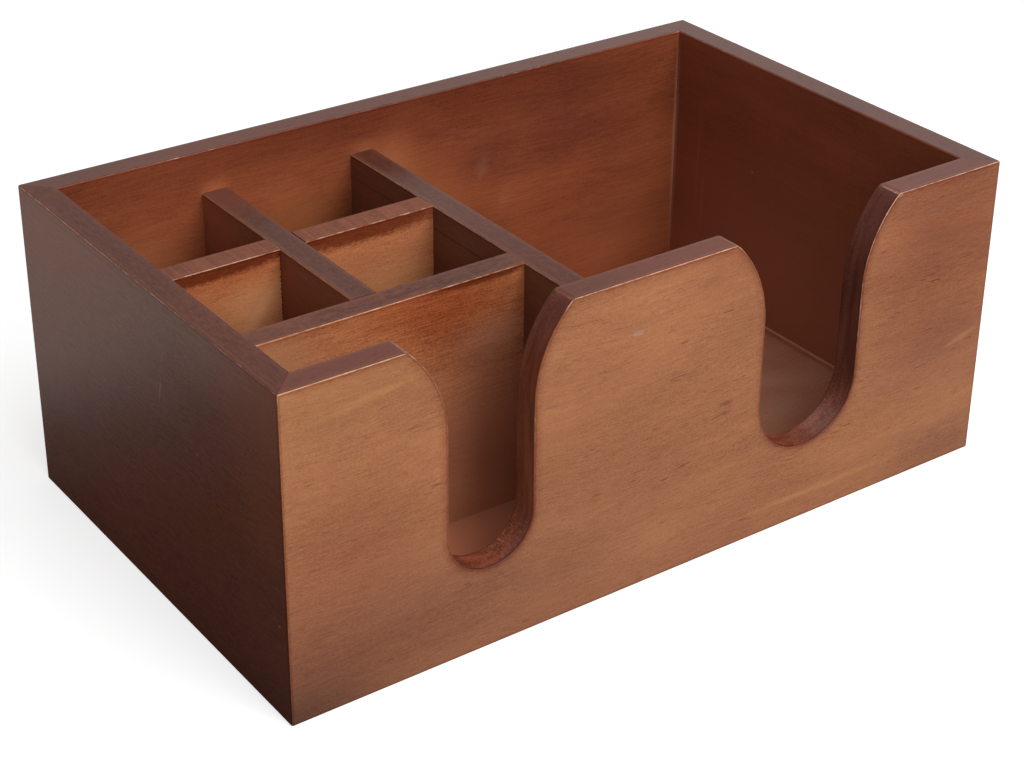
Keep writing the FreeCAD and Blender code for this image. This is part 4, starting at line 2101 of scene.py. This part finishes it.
FRONT_CROSS_MARKS = (
    Shade(-30, 87.4, 26, 2.6, 0.85, UNDER_RIM, softness=0.6, tear=0.5),
    Mark(-104, 82, 36, 16, 0.55, (0.66, 0.31, 0.16), tilt=-32),
    Shade(-46, 82, 40, 15, 0.85, (0.74, 0.48, 0.38), tilt=-8, softness=0.9, tear=0.3),
    Shade(-44, 69, 30, 10, 0.6, (0.78, 0.62, 0.58), tilt=-12, tear=0.3),
    # painted light: the next two lighten the cross divider's face low down and towards its right end,
    # where shade falls deep in the bay
    Mark(-28, 34, 44, 42, 0.75, (0.67, 0.262, 0.148), tear=0.1),
    Mark(-28, 67, 19, 11, 0.24, (0.64, 0.29, 0.21)),
    Shade(-34, 87.7, 26, 10, 0.8, (0.78, 0.93, 1.0), tear=0.2, side=Side.EDGE),
    Mark(-102, 87.7, 24, 10, 0.15, (0.27, 0.095, 0.053), side=Side.EDGE),
    # painted light: lightens the bottom of the cross divider's face near its right end, where shade falls
    Mark(-28, 8, 48, 28, 0.8, (0.71, 0.325, 0.185), tear=0.1),
)
REAR_CROSS_MARKS = (
    Shade(-98, 87.3, 42, 4.8, 0.95, UNDER_RIM, softness=0.45, tear=0.5),
    Shade(-41, 87.2, 38, 6, 0.95, UNDER_RIM, softness=0.45, tear=0.5),
    Shade(-80, 83, 60, 8, 0.6, (0.9, 0.7, 0.55), tear=0.1),
    Mark(-80, 70, 20, 15, 0.45, (0.78, 0.38, 0.17), tilt=20),
    Mark(-36, 65, 26, 13, 0.4, (0.76, 0.36, 0.16)),
    Mark(-79, 69, 16, 3.4, 0.3, (0.8, 0.42, 0.22), tilt=52, tear=0.3),
)
BACK_MARKS = on_side(
    Side.INNER,
    Mark(-66.8, 88.6, 8, 4.5, 0.35, HALO, tear=0.5),
    Mark(-13.1, 88.6, 8, 4.5, 0.3, HALO, tear=0.5),
    Mark(-100, 66, 30, 20, 0.6, (0.5, 0.183, 0.075)),
    Mark(-38, 66, 26, 20, 0.5, (0.485, 0.168, 0.059)),
    Mark(8, 66, 30, 24, 0.45, (0.46, 0.16, 0.055), tilt=-30),
    Shade(0, 104, 190, 27, 1.0, (0.64, 0.53, 0.55), softness=0.9, tear=0.2),
    Shade(74, 76, 44, 22, 0.8, (0.72, 0.66, 0.82), tilt=-10, tear=0.2),
    Shade(37, 72, 22, 15, 0.9, (0.72, 0.68, 0.82), tilt=-20, tear=0.2),
    Shade(72, 94, 46, 12, 0.8, (0.8, 0.74, 0.82), tear=0.2),
    Mark(92, 28, 60, 26, 0.35, (0.42, 0.13, 0.055), tear=0.1),
    Mark(-4, 78, 16, 20, 0.56, (0.48, 0.162, 0.069), tilt=-20),
    Shade(-3, 40, 15, 18, 0.5, (0.78, 0.8, 0.9), tear=0.2),
    Shade(62, 70, 18, 11, 0.5, (0.74, 0.7, 0.7), tear=0.2),
    Shade(18, 70, 18, 13, 0.5, (0.88, 0.74, 0.82), tear=0.2),
    Shade(86, 92, 22, 11, 0.5, (0.83, 0.83, 0.85), tear=0.2),
    Shade(58, 82, 66, 24, 0.9, (0.8, 0.75, 0.82), tear=0.2),
    Mark(34, 70, 4, 9, 0.11, WIPED, tilt=-18, tear=0.8),
    Mark(43, 56, 3, 7, 0.08, WIPED, tilt=-10, tear=0.8),
    Mark(117.9, 60, 1.3, 60, 0.4, WIPED),
)
RIGHT_MARKS = on_side(
    Side.INNER,
    # painted light: a wide lighter oval over the lower part of the right end's inner face, which lies in
    # shade
    Mark(0, 0, 130, 85, 0.9, (0.424, 0.161, 0.093), tear=0.0),
    Mark(67, 60, 1.4, 60, 0.4, WIPED),
    Mark(51, 42, 1.6, 16, 0.12, WIPED, tilt=2, tear=0.3),
    Mark(54, 60, 1.2, 34, 0.07, WIPED, tilt=1, tear=0.3),
    Mark(25.3, 62.9, 0.45, 0.4, 0.4, (0.6, 0.4, 0.3), softness=0.5, tear=0.3),
)
LONG_PLANK_MARKS = (
    Mark(6, 87.7, 44, 8, 0.15, (0.19, 0.09, 0.062), side=Side.EDGE),
    Mark(48, 74, 28, 22, 0.12, (0.42, 0.12, 0.09), tear=0.1),
    Mark(24, 80.3, 70, 0.5, 0.6, PLANK_GRAIN, softness=0.9, tear=0.3),
    Mark(20, 69.9, 30, 0.4, 0.45, PLANK_GRAIN, softness=0.9, tear=0.5),
)
SHORT_PLANK_MARKS = (
    Mark(60, 87.7, 22, 8, 0.46, (0.2, 0.068, 0.042), tear=0.1, side=Side.EDGE),
    Mark(60, 76, 26, 26, 0.42, (0.5, 0.18, 0.09), tear=0.1),
)
FLOOR_MARKS = (
    # painted light: lightens the floor of the condiment bay, where shade falls
    Mark(-45, -46, 52, 32, 1.0, (0.58, 0.228, 0.126), softness=0.7, tear=0.1),
    # painted sheen, with smears: pale ragged patches on the floor towards the right end
    Mark(96, -18, 28, 9, 0.18, SHEEN_AND_SMEAR, tilt=-34, tear=1.1),
    Mark(86, -32, 18, 10, 0.2, SHEEN_AND_SMEAR, tilt=22, tear=1.1),
    Mark(104, 0, 20, 7, 0.08, SHEEN_AND_SMEAR, tilt=-52, tear=1.1),
)
LEFT_MARKS = (
    # painted sheen: the lighter marks in this list lighten the upper and back part of the face, below a
    # slanting edge, where it shows a soft reflection
    Mark(40, 116, 190, 72, 0.8, (0.25, 0.07, 0.02), tilt=-24, softness=0.9, tear=0.0),
    Mark(-78, 104, 70, 46, 0.4, (0.28, 0.08, 0.03), tilt=-10, tear=0.0),
    # painted shade: darker at the bottom front
    Shade(-78, -3, 34, 20, 0.8, (0.74, 0.74, 0.68)),
    Mark(-68, 60, 28, 26, 0.12, (0.3, 0.1, 0.045), tear=0.0),
    Mark(70, 52, 60, 30, 0.4, (0.2, 0.055, 0.02), tilt=-24, tear=0.0),
    # painted shade: darker along the bottom of the front half
    Shade(-66, -2, 100, 48, 0.85, (0.66, 0.56, 0.48)),
    Mark(-10.6, 72.6, 0.35, 5.6, 0.5, SCRATCH, tilt=14, softness=0.8, tear=0.6),
    Mark(-13, 83.6, 0.3, 3.4, 0.25, SCRATCH, tilt=12, softness=0.8, tear=0.6),
    Fleck(9, 64.2, 1, 0.3, 0.4, SCRATCH, tilt=-30, softness=0.6),
    Fleck(-5, 65.3, 1.1, 0.25, 0.4, SCRATCH, tilt=-20, softness=0.6),
    Fleck(-30.5, 61.8, 0.5, 0.35, 0.45, SCRATCH, tilt=-30, softness=0.6),
    Fleck(-48, 32, 3.4, 0.6, 0.7, (0.03, 0.01, 0.006), tilt=-14, softness=0.6),
    Fleck(8, 93.4, 3.4, 0.4, 0.4, (0.05, 0.018, 0.01), softness=0.7),
    Fleck(-13, 93.9, 6, 0.35, 0.3, (0.05, 0.018, 0.01)),
    Mark(0, 99.3, 90, 0.5, 0.35, (0.05, 0.018, 0.01), softness=0.8, tear=1.2),
    Mark(30, 80, 0.8, 16, 0.22, (0.05, 0.018, 0.01), tilt=12, tear=0.8),
    Fleck(63.7, 101.1, 1, 0.9, 0.45, (0.45, 0.28, 0.2)),
    Fleck(-72, 30.2, 0.6, 0.4, 0.5, SCRATCH, softness=0.6),
)


# ---------------------------------------------------------------- the caddy


@dataclass
class Caddy:
    """The whole caddy: its boards, floor, dividers and fillers, each in its finish."""

    places: Places

    def finishes(self, slots: Iterable[SlotShape]) -> dict[str, StainedBoard]:
        """Works out each board's finish.

        Args:
            slots: the front board's slots.

        Returns:
            The finishes, by node.
        """
        wall = self.places.wall
        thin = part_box("long_divider")[1].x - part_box("long_divider")[0].x
        floor = self.places.floor_top - self.places.floor_bottom
        return {
            "front_panel": StainedBoard(
                "front_wood", Lie.FACES_FRONT, LIGHT_BROWN, RED_BROWN, FRONT_RIM, 1.0, wall,
                grain=Grain(0.9, 0.3, 0.3, 1.4, 0.6, 0.92),
                lacquer=Gloss(edge=0.09, edge_right=0.14),
                worn_rim=0.62,
                worn_outer=0.24,
                gathered=0.5,
                marks=FRONT_MARKS,
                slots=SlotStain(tuple(slot.centre for slot in slots)),
            ),
            "back_panel": StainedBoard(
                "back_wood", Lie.FACES_BACK, LIGHT_BROWN, RED_BROWN, BACK_RIM, 2.0, wall,
                grain=Grain(1.4, 0.24, 0.7, 1.1, 0.7),
                lacquer=Gloss(edge=0.11, edge_right=0.16),
                worn_inner=0.14,
                rubbed=0.15,
                marks=BACK_MARKS,
            ),
            "left_end_panel": StainedBoard(
                "left_end_wood", Lie.FACES_LEFT, END_BROWN, DEEP_BROWN, RIM_BROWN, 3.0, wall,
                grain=Grain(0.7, 0.3, 0.8, 2.9, 1.2, 0.15),
                lacquer=Gloss(outer=0.0, edge=0.2, far_corner=0.72),
                sheen_level=0.026,
                rubbed=0.15,
                worn_rim=0.36,
                worn_outer=0.2,
                worn_colour=(0.42, 0.23, 0.14),
                marks=LEFT_MARKS,
            ),
            "right_end_panel": StainedBoard(
                "right_end_wood", Lie.FACES_RIGHT, DEEP_BROWN, DEEP_BROWN, RIM_BROWN, 4.0, wall,
                worn_inner=0.14,
                rubbed=0.15,
                marks=RIGHT_MARKS,
            ),
            "bottom_panel": StainedBoard(
                "floor_board_wood", Lie.FACES_UP, FLOOR_BROWN, FLOOR_BROWN, RIM_BROWN, 5.0, floor,
                lacquer=Gloss(outer=0.34, inner=0.0, edge=0.0),
                worn_rim=0.7,
                worn_outer=0.7,
                worn_colour=(0.45, 0.21, 0.13),
                line_width=1.3 * MM,
                marks=FLOOR_MARKS,
            ),
            "long_divider": StainedBoard(
                "long_plank_wood", Lie.FACES_LEFT, PLANK_BROWN, PLANK_BROWN, LONG_RIM, 6.0, thin,
                grain=Grain(mottle=1.9),
                lacquer=Gloss(outer=0.0, inner=0.0, edge=0.46, edge_front=-0.3),
                sheen_level=0.05,
                worn_inner=0.8,
                worn_colour=PLANK_LINE,
                marks=LONG_PLANK_MARKS,
            ),
            "short_divider": StainedBoard(
                "short_plank_wood", Lie.FACES_LEFT, SHORT_PLANK_BROWN, PLANK_BROWN, SHORT_RIM, 7.0, thin,
                grain=Grain(mottle=1.9),
                lacquer=Gloss(outer=0.0, inner=0.0, edge=0.24, edge_front=-0.08, edge_back=0.36),
                sheen_level=0.05,
                worn_rim=0.34,
                worn_colour=PLANK_LINE,
                marks=SHORT_PLANK_MARKS,
            ),
            "front_cross_divider": StainedBoard(
                "front_cross_wood", Lie.FACES_FRONT, CROSS_BROWN, CROSS_BROWN, FRONT_CROSS_RIM, 8.0, thin,
                grain=Grain(1.7, 1.1, 1.0, 2.6, 2.2),
                lacquer=Gloss(outer=0.0, inner=0.0, edge=0.17),
                sheen_level=0.05,
                worn_rim=0.42,
                marks=FRONT_CROSS_MARKS,
            ),
            "rear_cross_divider": StainedBoard(
                "rear_cross_wood", Lie.FACES_FRONT, REAR_CROSS_BROWN, CROSS_BROWN, CROSS_RIM, 9.0, thin,
                grain=Grain(0.8, 0.42, 0.4, 1.9, chatter=1.25),
                lacquer=Gloss(outer=0.0, inner=0.0, edge=0.1),
                sheen_level=0.05,
                worn_rim=0.38,
                marks=REAR_CROSS_MARKS,
            ),
        }

    def profile(self, node: str, groups: Groups, slots: Iterable[SlotShape]) -> Profile:
        """Gives what works out the distance from a board's outline.

        Args:
            node: the board's node.
            groups: the shared node groups.
            slots: the front board's slots.

        Returns:
            A call that takes the pot and the place, and gives the distance.
        """
        p = self.places

        def from_slot(pot: Pot, x: Signal, z: Signal, slot: SlotShape) -> Signal:
            """Distance from a slot's outline."""
            return pot.use(
                groups.slot,
                Along=x,
                Height=z,
                Centre=slot.centre,
                Half_Width=slot.half_width,
                Round_Height=slot.round_height,
                Shoulder_Height=p.top - slot.shoulder_drop,
                Shoulder_Radius=slot.shoulder_radius,
            )["Distance"]

        def front(pot: Pot, x: Signal, y: Signal, z: Signal) -> Signal:
            """Distance from the front board's rim, base, ends and slots."""
            cuts = [from_slot(pot, x, z, slot) for slot in slots]
            return pot.lowest(p.top - z, z, x - p.left, p.right - x, *cuts)

        def back(pot: Pot, x: Signal, y: Signal, z: Signal) -> Signal:
            """Distance from the back board's rim, base and ends."""
            return pot.lowest(p.top - z, z, x - p.left, p.right - x)

        def end(pot: Pot, x: Signal, y: Signal, z: Signal) -> Signal:
            """Distance from an end board's rim, base and ends."""
            return pot.lowest(p.top - z, z, y - p.front, p.back - y)

        def divider(pot: Pot, x: Signal, y: Signal, z: Signal) -> Signal:
            """Distance below a divider's top."""
            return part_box("long_divider")[1].z - z

        def floor(pot: Pot, x: Signal, y: Signal, z: Signal) -> Signal:
            """Distance from the floor's right side."""
            return p.inner_right - x

        outlines = {
            "front_panel": front,
            "back_panel": back,
            "left_end_panel": end,
            "right_end_panel": end,
            "bottom_panel": floor,
        }
        return outlines.get(node, divider)

    def build(self) -> None:
        """Builds and dresses every piece."""
        outer = OuterBoards(self.places)
        boards = outer.build()
        fillers = FillerSpots()
        fillers.pocket(boards["front_panel"], "front_brad_filler")
        fillers.pocket(boards["back_panel"], "rear_brad_filler")
        boards |= InnerBoards(self.places).build()
        groups = make_groups()
        finishes = self.finishes(outer.slots)
        for node, board in boards.items():
            low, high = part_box(node)
            material = finishes[node].make(
                groups, low, high, self.profile(node, groups, outer.slots)
            )
            slot = "outer_wood" if node.endswith("_panel") else "divider_wood"
            self.settle(board, material, "floor_wood" if node == "bottom_panel" else slot, node)
        filler = Filler().make()
        for side in ("front", "rear"):
            node = f"{side}_brad_filler"
            self.settle(fillers.build(f"{side}_filler_spot", node), filler, "filler", node)
        steel = BradSteel().make()
        for side in ("front", "rear"):
            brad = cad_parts[f"{side}_brad"]
            brad.data.materials.clear()
            brad.data.materials.append(steel)
            log.info("%s keeps its frame shape, in %s", brad.name, steel.name)

    @staticmethod
    def settle(piece: bpy.types.Object, material: bpy.types.Material, slot: str, node: str) -> None:
        """Finishes a piece's surface, dresses it, and puts it in place of its node.

        Args:
            piece: the piece.
            material: its finish.
            slot: a name for the finish's slot; not used.
            node: the node that the piece replaces.
        """
        finish_surface(piece)
        piece.data.materials.clear()
        piece.data.materials.append(material)
        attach(piece, BODY)
        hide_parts(node)
        log.info("%s: %d faces, in %s", piece.name, len(piece.data.polygons), material.name)


def main() -> None:
    """Builds the caddy and its studio."""
    logging.basicConfig(level=logging.INFO, format="%(message)s")
    Caddy(read_places()).build()
    Studio().build()


if __name__ == "__main__":
    main()
